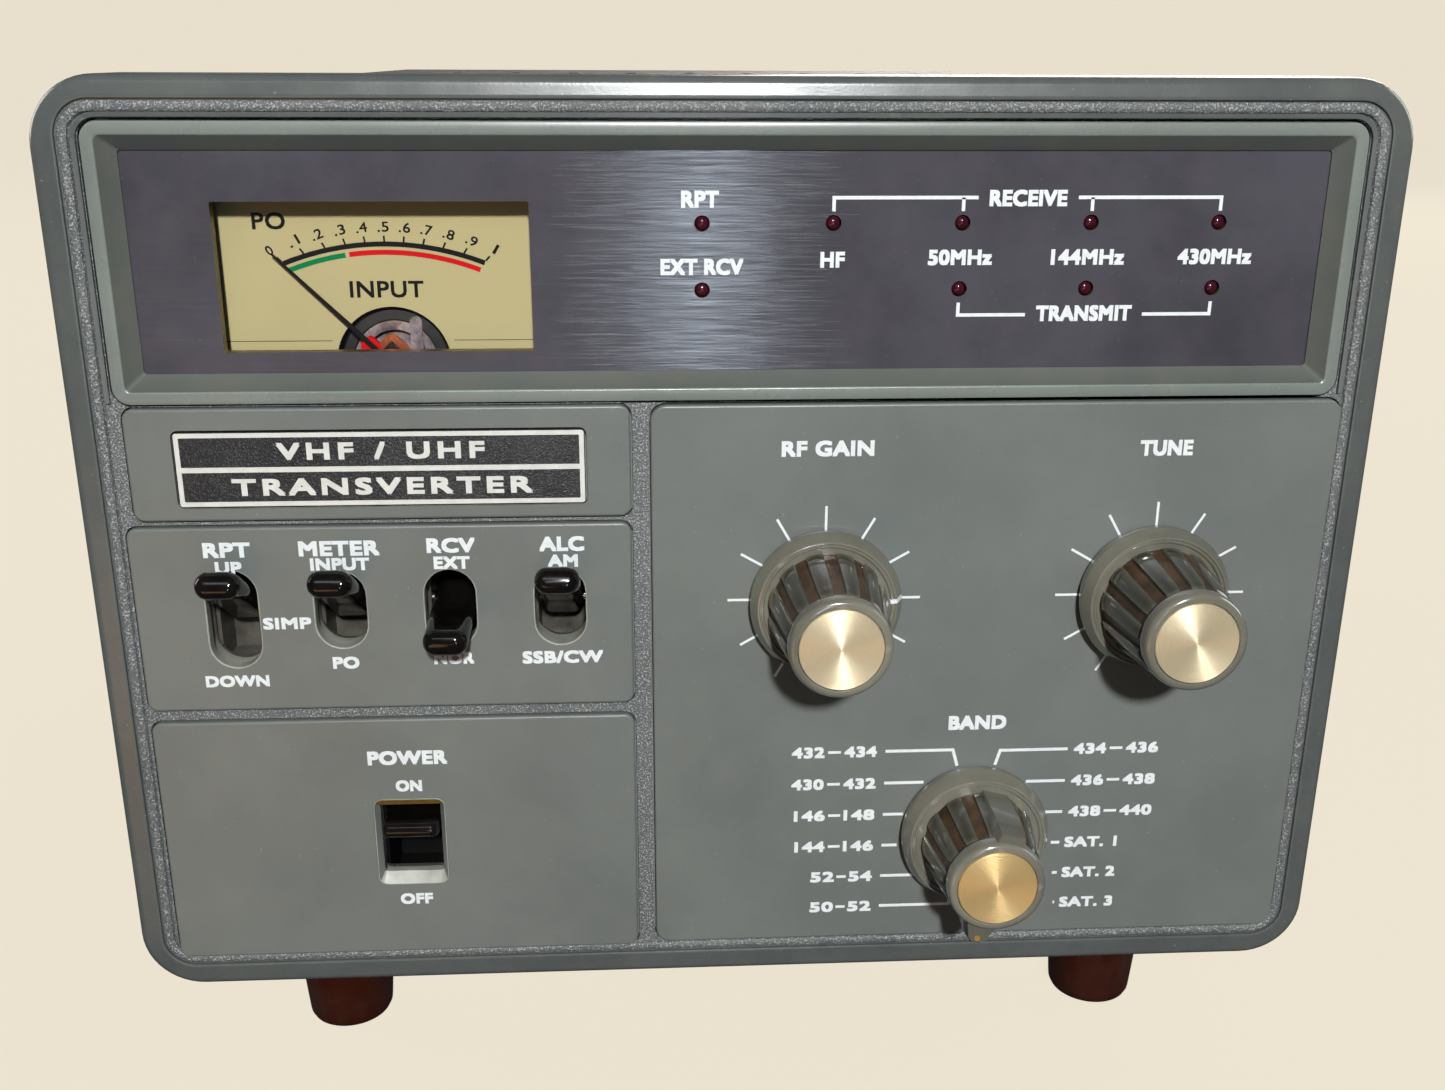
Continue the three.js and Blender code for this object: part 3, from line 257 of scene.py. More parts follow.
def make_materials():
    """Every material of the object, by a short name."""
    # The grain's pale glints are painted highlight on its peaks.
    grain = dict(bump=1.0, bump_scale=3300, bump_depth=0.00022, span=0.1, sparkle=0.55)
    return SimpleNamespace(
        moulding=paint("moulding", (0.092, 0.104, 0.1), 0.25, dust=0.12, wear=0.35, bump=0.2, specks=0.5,
                       span=0.04),
        grained=paint("grained_moulding", (0.115, 0.125, 0.125), 0.34, dust=0.15,
                      wear_and_glint_color=(0.75, 0.77, 0.76), **grain),
        frame=paint("frame_moulding", (0.195, 0.222, 0.2), 0.28, dust=0.12, wear=0.4, bump=0.15, specks=0.4,
                    span=0.03),
        # The bevels are the frame's moulding at about half its brightness: painted shade in the window's
        # recess; the brown film is dust.
        bevel=paint("frame_bevel", (0.1, 0.112, 0.1), 0.3, dust=0.3, dust_color=(0.2, 0.17, 0.11), wear=0.5,
                    bump=0.15, specks=0.5, span=0.03),
        plate=paint("plate_paint", (0.158, 0.174, 0.162), 0.37, dust=0.1, bump=0.3, bump_scale=3800,
                    specks=0.5, mottle=0.07, span=0.04),
        smoked=paint("smoked_window", (0.062, 0.059, 0.072), 0.07, mottle=0.2, dust=0.16,
                     dust_color=(0.15, 0.13, 0.12), bump=1.0, bump_scale=7000, bump_depth=0.00002,
                     stretch=(0.003, 1, 1), span=0.01, specks=0.4, Specular_IOR_Level=0.5, Coat_Weight=0.3,
                     Coat_Roughness=0.5),
        amber=paint("amber_edge", (0.09, 0.05, 0.006), 0.35, mottle=0.3, mottle_scale=300),
        lens_red=paint("lamp_lens", (0.05, 0.006, 0.014), 0.14, mottle=0.25, mottle_scale=900, bump=0.05),
        card=paint("scale_card", (0.5, 0.43, 0.208), 0.75, mottle=0.03, bump=0.1, specks=0.12),
        ink=paint("black_ink", (0.008, 0.007, 0.007), 0.6, mottle=0.2, Specular_IOR_Level=0.1),
        green_ink=paint("green_ink", (0.0, 0.2, 0.06), 0.55, mottle=0.06, Specular_IOR_Level=0.1),
        red_ink=paint("red_ink", (0.62, 0.004, 0.008), 0.55, mottle=0.06, Specular_IOR_Level=0.1),
        legend=paint("legend_ink", (0.8, 0.84, 0.84), 0.5, mottle=0.05, mottle_scale=700, bump=0.1),
        # The badge's faint pale glints are painted highlight on its grain.
        badge=paint("badge_black", (0.013, 0.014, 0.016), 0.4, wear_and_glint_color=(0.12, 0.13, 0.14), bump=1.0,
                    bump_scale=3600, bump_depth=0.00016, dust=0.08, sparkle=0.5),
        silver=paint("badge_silver", (0.74, 0.75, 0.7), 0.4, metallic=0.1, mottle=0.06, mottle_scale=500),
        knob=paint("knob_plastic", (0.03, 0.029, 0.02), 0.15, mottle=0.3, dust=0.3, bump=0.1, wear=0.4,
                   dust_color=(0.12, 0.1, 0.055), wear_and_glint_color=(0.34, 0.33, 0.28), Coat_Weight=0.6,
                   Coat_Roughness=0.12),
        # The skirt and front ring are the knob plastic made several times lighter: painted reflection of the
        # panel in the glossy plastic.
        skirt=paint("knob_skirt", (0.17, 0.165, 0.13), 0.18, mottle=0.25, dust=0.3, bump=0.1, wear=0.4,
                    dust_color=(0.2, 0.17, 0.11), wear_and_glint_color=(0.4, 0.38, 0.33), Coat_Weight=0.8,
                    Coat_Roughness=0.1),
        # The groove floors' brown is partly dust and partly a painted reflection of warm surroundings.
        knob_groove=paint("knob_groove", (0.055, 0.026, 0.01), 0.35, mottle=0.6, mottle_scale=420, dust=0.35,
                          dust_color=(0.17, 0.1, 0.04)),
        gold=paint("spun_gold", (0.85, 0.6, 0.27), 0.36, metallic=0.6, mottle=0.02, span=0.02, bump=0.0),
        pale_gold=paint("pale_gold", (0.84, 0.71, 0.47), 0.38, metallic=0.6, mottle=0.02, span=0.02,
                        bump=0.0),
        gold_dot=paint("gold_dot", (0.7, 0.4, 0.1), 0.35, metallic=0.6, mottle=0.1),
        lever=paint("lever_plastic", (0.004, 0.0035, 0.003), 0.11, mottle=0.2, bump=0.05, span=0.03,
                    dust=0.03),
        slider=paint("slider_plastic", (0.06, 0.055, 0.045), 0.4, mottle=0.4, mottle_scale=300, dust=0.3),
        black=paint("black_plastic", (0.014, 0.014, 0.014), 0.45, bump=0.4, bump_depth=0.00008, dust=0.08),
        # Near black for the power switch body: painted shade inside its opening.
        recess=paint("switch_body_painted_shade", (0.003, 0.003, 0.003), 0.6, dust=0.02, Specular_IOR_Level=0.1),
        pale=paint("pale_liner", (0.34, 0.35, 0.3), 0.4, mottle=0.2, mottle_scale=200, dust=0.2),
        zinc=paint("zinc_plate", (0.42, 0.41, 0.36), 0.34, metallic=0.85, mottle=0.14, mottle_scale=160,
                   span=0.1, bump=0.15),
        nickel=paint("nickel_plate", (0.62, 0.61, 0.57), 0.2, metallic=1.0, mottle=0.06, span=0.08,
                     bump=0.08),
        brass=paint("brass", (0.6, 0.42, 0.15), 0.25, metallic=1.0, mottle=0.1, span=0.08, bump=0.1),
        copper=paint("copper_wire", (0.62, 0.16, 0.06), 0.3, metallic=0.7, bump=0.8, bump_scale=5000,
                     stretch=(1, 1, 0.05), bump_depth=0.0001),
        movement=paint("movement_metal", (0.4, 0.33, 0.33), 0.25, metallic=0.5, mottle=0.5, mottle_scale=500),
        case=paint("case_paint", (0.042, 0.042, 0.04), 0.6, bump=0.9, bump_scale=1700,
                   bump_depth=0.00012, dust=0.12, wear=0.3, wear_and_glint_color=(0.3, 0.3, 0.29)),
        rubber=paint("foot_rubber", (0.035, 0.006, 0.002), 0.32, dust=0.04, bump=0.4, bump_depth=0.00006),
        cast=paint("cast_aluminium", (0.05, 0.053, 0.053), 0.45, metallic=0.5, bump=0.5,
                   bump_depth=0.0001, wear=0.4, wear_and_glint_color=(0.4, 0.4, 0.4)),
        board=paint("circuit_board", (0.05, 0.13, 0.05), 0.4, mottle=0.15, mottle_scale=250),
        laminations=paint("laminations", (0.06, 0.05, 0.045), 0.5, metallic=0.5, bump=0.9,
                          bump_scale=1500, stretch=(0.02, 1, 0.02), bump_depth=0.0002),
        ptfe=paint("white_insulator", (0.7, 0.68, 0.62), 0.45, mottle=0.05),
        clear=paint("clear_lens", (0.1, 0.1, 0.1), 0.04, mottle=0.01, bump=0.0, span=0.02, Alpha=0.02),
    )


# Mesh helpers -------------------------------------------------------------------------------------

def rounded(width, height, radius, x=0.0, z=0.0, inset=0.0, steps=8):
    """A rounded rectangle's outline as (x, z) points, anticlockwise from the lower right corner."""
    radius = max(radius - inset, 0.04)
    half_width = width / 2 - inset - radius
    half_height = height / 2 - inset - radius
    points = []
    for quarter, (side, level) in enumerate(((1, -1), (1, 1), (-1, 1), (-1, -1))):
        for step in range(steps + 1):
            angle = math.radians(90 * (quarter - 1 + step / steps))
            points.append((
                x + side * half_width + radius * math.cos(angle),
                z + level * half_height + radius * math.sin(angle),
            ))
    return points


def circle(radius, x=0.0, z=0.0, sides=40):
    """A circle's outline as (x, z) points."""
    turns = [2 * math.pi * i / sides for i in range(sides)]
    return [(x + radius * math.cos(a), z + radius * math.sin(a)) for a in turns]


# The next three give an outline as a function of its inset, as plate() takes it.

def round_hole(radius, x, z, sides=40):
    return lambda inset: circle(radius - inset, x, z, sides)


def outline_about(box, width, height, corner, steps):
    return lambda inset: rounded(width, height, corner, box.x, box.z, inset, steps)


def outline_of(box, corner, grow=0.0, steps=8):
    return outline_about(box, box.width + 2 * grow, box.height + 2 * grow, corner + grow, steps)


def ring_of(bm, outline, y):
    return [bm.verts.new((x, y, z)) for x, z in outline]


def skin(bm, first, second, material=0):
    """Faces between two rings with the same number of points."""
    count = len(first)
    for i in range(count):
        j = (i + 1) % count
        face = bm.faces.new((first[i], first[j], second[j], second[i]))
        face.material_index = material


def skins(bm, rings, material=0):
    """Skins between neighbouring rings."""
    for first, second in zip(rings, rings[1:]):
        skin(bm, first, second, material)


def fill(bm, rings, material=0):
    """Flat faces inside the first ring and outside the others."""
    points = [vert for ring in rings for vert in ring]
    for triangle in tessellate_polygon([[vert.co for vert in ring] for ring in rings]):
        face = bm.faces.new([points[i] for i in triangle])
        face.material_index = material


def loft(bm, sections, material=0, ring=False, caps=True):
    """A skin through sections, each an outline and its depth."""
    rings = [ring_of(bm, outline, y) for outline, y in sections]
    skins(bm, rings, material)
    if ring:
        skin(bm, rings[-1], rings[0], material)
    elif caps:
        fill(bm, rings[:1], material)
        fill(bm, rings[-1:], material)


def upright(bm, outline, bottom, top):
    """A prism from an (x, y) outline, between two heights."""
    ends = [[bm.verts.new((x, y, z)) for x, y in outline] for z in (bottom, top)]
    skin(bm, *ends)
    for end in ends:
        fill(bm, [end])


def round_over(front, edge, steps=4):
    """Insets and depths of a rounded front edge, from the flat face to the side wall."""
    if not edge:
        return [(0.0, front)]
    angles = [math.pi / 2 * i / steps for i in range(steps + 1)]
    return [(edge * (1 - math.sin(a)), front + edge * (1 - math.cos(a))) for a in angles]


def plate(bm, outline, front, back, edge=0.0, holes=(), hole_edge=0.0, material=0, wall=None):
    """A flat plate. outline and each hole map an inset to an outline; holes open out with negative insets."""
    outer = [ring_of(bm, outline(inset), y) for inset, y in [*round_over(front, edge), (0.0, back)]]
    skins(bm, outer, material)
    inner = []
    for hole in holes:
        rings = [ring_of(bm, hole(-inset), y) for inset, y in [*round_over(front, hole_edge), (0.0, back)]]
        skins(bm, rings, material if wall is None else wall)
        inner.append(rings)
    for end in (0, -1):
        fill(bm, [rings[end] for rings in (outer, *inner)], material)


def block(bm, x0, x1, y0, y1, z0, z1, material=0):
    corners = [(x0, z0), (x1, z0), (x1, z1), (x0, z1)]
    loft(bm, [(corners, y0), (corners, y1)], material)


def turn(bm, profile, x=0.0, z=0.0, sides=64, material=0, shape=None, start=0.0):
    """A turned shape about y from (radius, y) points, y counted from start. shape may change the radius."""
    previous = None
    for radius, y in profile:
        if radius < 1e-6:
            ring = [bm.verts.new((x, start + y, z))]
        else:
            ring = []
            for i in range(sides):
                angle = 2 * math.pi * i / sides
                local = shape(angle, radius) if shape else radius
                point = (x + local * math.sin(angle), start + y, z + local * math.cos(angle))
                ring.append(bm.verts.new(point))
        if previous:
            count = max(len(ring), len(previous))
            for i in range(count if count > 1 else 0):
                j = (i + 1) % count
                corners = [previous[i % len(previous)], previous[j % len(previous)], ring[j % len(ring)],
                           ring[i % len(ring)]]
                face = bm.faces.new(list(dict.fromkeys(corners)))
                face.material_index = material
        previous = ring


def placed(point, angle, axis):
    """The transform of a piece built about its own origin: turned in degrees, then moved to a panel point."""
    return PANEL @ Matrix.Translation(point) @ Matrix.Rotation(math.radians(angle), 4, axis)


def finish_piece(bm, name, looks, replaces=(), body=STILL, place=PANEL, sharp=38, weighted=False,
                 bevel=0.0):
    """Makes the piece's object, in metres, riding on its body. looks names its materials."""
    bmesh.ops.remove_doubles(bm, verts=bm.verts, dist=1e-5)
    bmesh.ops.recalc_face_normals(bm, faces=bm.faces)
    mesh = bpy.data.meshes.new(name)
    bm.to_mesh(mesh)
    bm.free()
    mesh.transform(place)
    for look in looks.split():
        mesh.materials.append(getattr(LOOK, look))
    mesh.polygons.foreach_set("use_smooth", [True] * len(mesh.polygons))
    mesh.set_sharp_from_angle(angle=math.radians(sharp))
    piece = add_object(name, mesh)
    if bevel:
        rounding = piece.modifiers.new("rounding", "BEVEL")
        rounding.width = bevel * MM
        rounding.segments = 2
        rounding.limit_method = "ANGLE"
        rounding.angle_limit = math.radians(40)
        rounding.harden_normals = False
    if weighted or bevel:
        normals = piece.modifiers.new("normals", "WEIGHTED_NORMAL")
        normals.keep_sharp = True
    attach(piece, body)
    if replaces:
        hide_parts(*replaces)


# Lettering ----------------------------------------------------------------------------------------

LETTER_HEIGHT = 0.03  # how far lettering stands off its plate


def lettering(text, spacing):
    """Flat letters as a mesh, moved so that their box is centred, and the box's size."""
    curve = bpy.data.curves.new("lettering", "FONT")
    curve.body = text
    curve.align_x = "CENTER"
    curve.space_character = spacing
    curve.resolution_u = 3
    source = add_object("lettering", curve)
    bpy.context.view_layer.update()
    letters = bpy.data.meshes.new_from_object(source.evaluated_get(bpy.context.evaluated_depsgraph_get()))
    bpy.data.objects.remove(source)
    bpy.data.curves.remove(curve)
    across = [vert.co.x for vert in letters.vertices]
    up = [vert.co.y for vert in letters.vertices]
    middle = Vector(((min(across) + max(across)) / 2, (min(up) + max(up)) / 2, 0))
    letters.transform(Matrix.Translation(-middle))
    return letters, Vector((max(across) - min(across), max(up) - min(up)))


def add_text(bm, text, x, z, width, height, y, material=0, tilt=0.0, bold=0.06, spacing=1.06):
    """One line of raised lettering centred on x, z in a box width by height; shifted copies thicken it."""
    upright = Matrix.Rotation(math.pi / 2, 4, "X")
    turned = Matrix.Rotation(math.radians(tilt), 4, "Y")
    grow = bold * height
    for layer, (across, up) in enumerate(((-1, -1), (1, -1), (1, 1), (-1, 1), (0, 0))):
        letters, size = lettering(text, spacing)
        fit = Matrix.Diagonal(((width - 2 * grow) / size.x, (height - 2 * grow) / size.y, 1, 1))
        shift = Matrix.Translation((across * grow, up * grow, 0))
        letters.transform(Matrix.Translation((x, y, z)) @ turned @ upright @ shift @ fit)
        first = len(bm.faces)
        bm.from_mesh(letters)
        bpy.data.meshes.remove(letters)
        bm.faces.ensure_lookup_table()
        new_faces = bm.faces[first:]
        for face in new_faces:
            face.material_index = material
        walls = bmesh.ops.extrude_face_region(bm, geom=new_faces)["geom"]
        front = [item for item in walls if isinstance(item, bmesh.types.BMVert)]
        bmesh.ops.translate(bm, verts=front, vec=(0, -LETTER_HEIGHT * (1 + layer / 10), 0))


def add_line(bm, points, y, width=0.55, material=0):
    """A raised printed line through the points, mitred at its corners."""
    points = [Vector(point) for point in points]
    ways = [(second - first).normalized() for first, second in zip(points, points[1:])]
    left, right = [], []
    for i, point in enumerate(points):
        before, after = ways[max(i - 1, 0)], ways[min(i, len(ways) - 1)]
        bisector = (before + after).normalized()
        across = Vector((-bisector.y, bisector.x)) * width / 2 / max(0.5, bisector.dot(after))
        left.append(tuple(point + across))
        right.append(tuple(point - across))
    outline = right + left[::-1]
    loft(bm, [(outline, y - LETTER_HEIGHT), (outline, y)], material)


def add_arc(bm, x, z, radius, start, end, y, width, material=0, steps=28):
    """A printed arc; angles are clockwise from the top."""
    angles = [math.radians(start + (end - start) * i / steps) for i in range(steps + 1)]
    outer, inner = [
        [(x + reach * math.sin(a), z + reach * math.cos(a)) for a in angles]
        for reach in (radius + width / 2, radius - width / 2)
    ]
    outline = outer + inner[::-1]
    loft(bm, [(outline, y - LETTER_HEIGHT), (outline, y)], material)


# Front moulding -----------------------------------------------------------------------------------

PLATE_CORNERS = {"nameplate_panel": 1.8, "switch_panel": 1.8, "power_panel": 1.8, "control_panel": 2.6}
WINDOW_CORNER = 2.8
FACE = SimpleNamespace(x=0, z=0, width=203.6, height=148.8, corner=5.6, depth=0.8)
RIM = SimpleNamespace(corner=10.5, plate=5.0, roll=1.6, crown=0.34, mouth_gap=0.4, mouth_corner=9.8)
LEVER_JOINTS = {"rpt": "rpt_tilt", "meter": "meter_tilt", "rcv": "rcv_tilt", "alc": "alc_tilt"}
SLOT = SimpleNamespace(width=8.4, middle={"rpt": -8.15}, other=-6.75, length={"rpt": 17.1}, short=13.5)
POWER_OPENING = SimpleNamespace(width=10.4, height=15.0, chamfer=1.0)
CONTROL_JOINTS = {"rf_gain": "rf_gain_turn", "tune": "tune_turn", "band": "band_turn"}
BUSH_HOLE = 4.9


def lever_slots(grow=0.0):
    made = []
    for name, joint in LEVER_JOINTS.items():
        box = SimpleNamespace(
            x=pivot(joint).x, z=SLOT.middle.get(name, SLOT.other),
            width=SLOT.width, height=SLOT.length.get(name, SLOT.short),
        )
        made.append(outline_of(box, SLOT.width / 2 - 0.01, grow, 8))
    return made


def power_opening(grow=0.0):
    lever = pivot("power_tilt")
    box = SimpleNamespace(x=lever.x, z=lever.z, width=POWER_OPENING.width, height=POWER_OPENING.height)
    return outline_of(box, 0.5, grow, 3)


def shaft_holes(radius):
    axes = [pivot(joint) for joint in CONTROL_JOINTS.values()]
    return [round_hole(radius, axis.x, axis.z) for axis in axes]


def openings_in(name, grow=0.0):
    return {
        "nameplate_panel": lambda: [outline_of(extent("name_badge"), 0.8, 0.35, 3)] if not grow else [],
        "switch_panel": lambda: lever_slots(grow),
        "power_panel": lambda: [power_opening(grow + (0 if grow else POWER_OPENING.chamfer))],
        "control_panel": lambda: shaft_holes(BUSH_HOLE + grow),
    }[name]()


def make_bezel():
    """The moulded front: rolled rim, grained band, and the grained face with pockets for the plates."""
    box = extent("front_bezel")
    outer = outline_of(box, RIM.corner, steps=12)
    inner = outline_of(FACE, FACE.corner, steps=12)
    case = extent("top_cover")
    gap = RIM.mouth_gap
    mouth = rounded(case.width + 2 * gap, 2 * (case.top + gap), RIM.mouth_corner, steps=12)
    rolled = []
    for step in range(9):
        angle = math.pi / 2 * step / 8
        depth = RIM.crown + RIM.roll * (1 - math.sin(angle))
        rolled.append((outer(RIM.roll * (1 - math.cos(angle))), depth))
    lip = [(-0.6, 0.04), (-0.2, 0.0), (0.0, 0.1), (0.05, 0.55), (0.3, 0.6)]
    band = [(0.3, 0.6), (0.35, 0.3), (0.55, 0.12), (0.9, 0.03), (1.2, 0.02), (1.6, 0.08), (1.85, 0.25),
            (1.95, 0.6), (2.15, FACE.depth)]
    bm = bmesh.new()
    loft(bm, [(mouth, RIM.plate), (mouth, box.back), (outer(0.15), box.back), (outer(0), box.back - 0.15),
              *rolled, *((inner(inset), y) for inset, y in lip)], 0, caps=False)
    loft(bm, [(inner(inset), y) for inset, y in band], 1, caps=False)
    face = ring_of(bm, inner(2.15), FACE.depth)
    pockets = [outline_of(extent(name), PLATE_CORNERS[name], 0.3) for name in PLATE_CORNERS]
    openings = [outline_of(extent("window_frame"), WINDOW_CORNER, 0.4), *pockets]
    fronts = [ring_of(bm, opening(0), FACE.depth) for opening in openings]
    backs = [ring_of(bm, opening(0), RIM.plate) for opening in openings]
    fill(bm, [face, *fronts], 1)
    for front, back in zip(fronts, backs):
        skin(bm, front, back, 0)
    fill(bm, [ring_of(bm, mouth, RIM.plate), *backs], 0)
    for name, pocket in zip(PLATE_CORNERS, pockets):
        plate(bm, pocket, 2.3, RIM.plate, holes=openings_in(name, 0.3), wall=2)
    finish_piece(bm, "front_moulding", "moulding grained pale", ["front_bezel"])


def make_window_lip():
    """The narrow raised lip that follows the window frame along its top and sides."""
    box = extent("window_frame")
    bm = bmesh.new()
    foot = box.bottom + 0.3

    def arch(grow):
        points = outline_of(box, WINDOW_CORNER, grow, 10)(0)
        upper = [point for point in points if point[1] > box.z]
        return [(box.right + grow, foot), *upper, (box.left - grow, foot)]

    outline = arch(1.25) + arch(0.5)[::-1]
    loft(bm, [(outline, 0.12), (outline, FACE.depth + 0.2)])
    finish_piece(bm, "window_lip", "moulding", bevel=0.12)


def make_window_frame():
    box = extent("window_frame")
    bm = bmesh.new()
    corner = WINDOW_CORNER
    flats = [(3.4, box.back, 0.6), (0.0, box.back, corner), (0.0, 0.4, corner), (0.12, 0.12, corner),
             (0.4, 0.0, corner), (1.8, 0.0, 1.0), (1.95, 0.04, 1.0), (2.1, 0.16, 1.0)]
    # The bevels take the darker bevel material, painted shade.
    bevels = [(2.1, 0.16, 1.0), (4.4, 3.0, 0.6), (3.4, 3.02, 0.6), (3.4, box.back, 0.6)]
    for material, sections in enumerate((flats, bevels)):
        outlines = [(outline_about(box, box.width - 2 * inset, box.height - 2 * inset, corner, 8)(0), y)
                    for inset, y, corner in sections]
        loft(bm, outlines, material, caps=False)
    finish_piece(bm, "window_surround", "frame bevel", ["window_frame"], sharp=25)


METER_OPENING = SimpleNamespace(x=-56.8, z=47.45, width=48.6, height=23.3)
LAMP_COLUMNS = {"repeat": -5.6, "hf": 15.1, "low": 35.6, "middle": 56.2, "high": 76.9}
LAMP_ROWS = {"receive": 55.7, "transmit": 45.3}
LAMPS = [(column, "receive") for column in LAMP_COLUMNS] + [
    (column, "transmit") for column in LAMP_COLUMNS if column != "hf"
]


def make_window_panel():
    box = extent("window_panel")
    bm = bmesh.new()
    holes = [round_hole(1.25, LAMP_COLUMNS[column], LAMP_ROWS[row], 24) for column, row in LAMPS]
    holes.append(outline_of(METER_OPENING, 0.3, 0))
    plate(bm, outline_of(box, 1.0), box.front, box.back, edge=0.1, holes=holes, wall=1)
    finish_piece(bm, "smoked_window", "smoked amber", ["window_panel"], weighted=True)


def make_lamp_board():
    """The circuit board with its nine lamps, and a resistor behind each."""
    box = extent("lamp_board")
    front = extent("window_panel").front
    rear = box.back
    dome = [(0, -0.1), (0.4, -0.06), (0.8, 0.1), (1.05, 0.4), (1.12, 0.9), (1.12, rear - 1.7 - front),
            (0, rear - 1.7 - front)]
    bm = bmesh.new()
    block(bm, box.left, box.right, rear - 1.6, rear, box.bottom, box.top)
    for column, row in LAMPS:
        x, z = LAMP_COLUMNS[column], LAMP_ROWS[row]
        turn(bm, dome, x, z, 32, 1, start=front)
        block(bm, x + 2.5, x + 8.5, rear - 3.4, rear - 1.5, z - 0.9, z + 0.9, 2)
    finish_piece(bm, "lamps_on_board", "board lens_red card", ["lamp_board"], bevel=0.05)


def make_plates():
    for name, corner in PLATE_CORNERS.items():
        box = extent(name)
        bm = bmesh.new()
        plate(bm, outline_of(box, corner), box.front, box.back, edge=0.45, holes=openings_in(name),
              hole_edge=0.25 if name == "switch_panel" else 0.0, wall=1)
        finish_piece(bm, name + "_detail", "plate pale", [name], weighted=True)


def make_power_liner():
    """The lining of the power switch opening: pale chamfer and sill, sides in the plate's colour as painted
    shade, and a dark amber block along the top as painted shade.
    """
    outer = power_opening(POWER_OPENING.chamfer)
    lever = pivot("power_tilt")
    sill = 1.1
    width, height = POWER_OPENING.width, POWER_OPENING.height - sill
    middle = lever.z + sill / 2
    inner = outline_of(SimpleNamespace(x=lever.x, z=middle, width=width, height=height), 0.5, 0, 3)
    bm = bmesh.new()
    loft(bm, [(outer(0.05), 0.0), (outer(0.2), -0.02), (inner(0), 1.15), (inner(0), 2.2),
              (outer(0.05), 2.2)], ring=True)
    # Faces turned to the sides take the plate's darker colour, painted shade by facing.
    for face in bm.faces:
        face.normal_update()
        face.material_index = 2 if abs(face.normal.x) > 0.6 else 0
    # A dark amber block over the downward-facing top is painted shade.
    top = middle + height / 2
    reach = width / 2 + 0.6
    block(bm, lever.x - reach, lever.x + reach, 0.15, 1.2, top - 0.15, top + 0.75, 1)
    finish_piece(bm, "power_switch_liner", "pale amber plate", sharp=20)


def make_badge():
    """A black badge with a two-row frame and generic wording."""
    box = extent("name_badge")
    face = box.front + 0.1
    line = 0.85
    row = box.height / 4
    bm = bmesh.new()
    plate(bm, outline_of(box, 0.5, 0, 4), face, box.back, edge=0.15)
    inner = outline_about(box, box.width - 2 * line, box.height - 2 * line, 0.2, 4)
    plate(bm, outline_of(box, 0.5, -0.1, 4), face - 0.1, face + 0.05, holes=[inner], material=1)
    block(bm, box.left + line, box.right - line, face - 0.1, face + 0.02, box.z - line / 2,
          box.z + line / 2, 1)
    add_text(bm, "VHF / UHF", box.x, box.z + row - 0.1, 33, 2.9, face, 1, spacing=1.3)
    add_text(bm, "TRANSVERTER", box.x, box.z - row + 0.15, 48, 2.9, face, 1, spacing=1.25)
    finish_piece(bm, "badge", "badge silver", ["name_badge"])


# Legends ------------------------------------------------------------------------------------------

def make_window_legends():
    y = extent("window_panel").front
    column = LAMP_COLUMNS
    bm = bmesh.new()
    add_text(bm, "RPT", column["repeat"] - 0.3, 59.4, 5.9, 2.6, y)
    add_text(bm, "EXT RCV", column["repeat"], 48.95, 13.1, 2.6, y)
    add_text(bm, "HF", column["hf"], 50.0, 3.9, 2.5, y)
    for name, text, width in (("low", "50MHz", 10.3), ("middle", "144MHz", 11.9), ("high", "430MHz", 12.1)):
        add_text(bm, text, column[name] - 0.1, 50.3, width, 2.5, y)
    receive = (column["low"] + column["middle"]) / 2
    transmit = column["middle"]
    add_text(bm, "RECEIVE", receive, 59.5, 12.4, 2.6, y)
    add_text(bm, "TRANSMIT", transmit, 41.3, 15.7, 2.6, y)
    for end, side, word, gap, level, tip in (
            ("hf", -1, receive, 8, 59.6, 57.5), ("high", 1, receive, 8, 59.6, 57.5),
            ("low", -1, transmit, 9.6, 41.1, 43.1), ("high", 1, transmit, 9.6, 41.1, 43.1)):
        add_line(bm, [(column[end], tip), (column[end], level), (word + side * gap, level)], y)
    for name in ("low", "middle"):
        add_line(bm, [(column[name], 57.5), (column[name], 59.6)], y)
    finish_piece(bm, "window_legends", "legend")


SWITCH_WORDS = [  # text, x, z, width, height
    ("RPT", -83.2, 4.0, 7.6, 2.6), ("UP", -83.2, 0.9, 4.3, 2.2), ("SIMP", -74.6, -8.95, 7.9, 2.1),
    ("DOWN", -83.7, -19.2, 10.5, 2.1), ("METER", -65.1, 4.05, 13.1, 2.6), ("INPUT", -65.2, 1.3, 9.6, 2.2),
    ("PO", -65.5, -16.2, 4.4, 2.2), ("RCV", -47.0, 4.3, 7.9, 2.6), ("EXT", -47.0, 1.3, 5.9, 2.2),
    ("NOR", -47.5, -15.7, 6.7, 2.2), ("ALC", -28.9, 4.3, 7.4, 2.6), ("AM", -28.8, 1.35, 5.0, 2.2),
    ("SSB/CW", -29.3, -15.85, 13.6, 2.3), ("POWER", -56.5, -34.1, 13.6, 2.7), ("ON", -56.6, -39.5, 4.5, 2.2),
    ("OFF", -56.6, -61.9, 5.7, 2.2),
]


def make_switch_legends():
    bm = bmesh.new()
    for text, x, z, width, height in SWITCH_WORDS:
        add_text(bm, text, x, z, width, height, 0, bold=0.065)
    finish_piece(bm, "switch_legends", "legend")


BAND_LEFT = [("432–434", 15.0), ("430–432", 15.0), ("146–148", 14.4), ("144–146", 14.2), ("52–54", 11.2),
             ("50–52", 11.2)]
BAND_RIGHT = [("434–436", 15.2), ("436–438", 15.2), ("438–440", 15.2), ("SAT. 1", 9.6), ("SAT. 2", 9.8),
              ("SAT. 3", 9.9)]
BAND_PITCH = 6.22
BAND_FOOT = 13.0  # where a row's line ends, from the knob's axis
PLAIN_ENDS = (14.6, 15.3, 15.9)  # the same for the straight lines of the last three rows


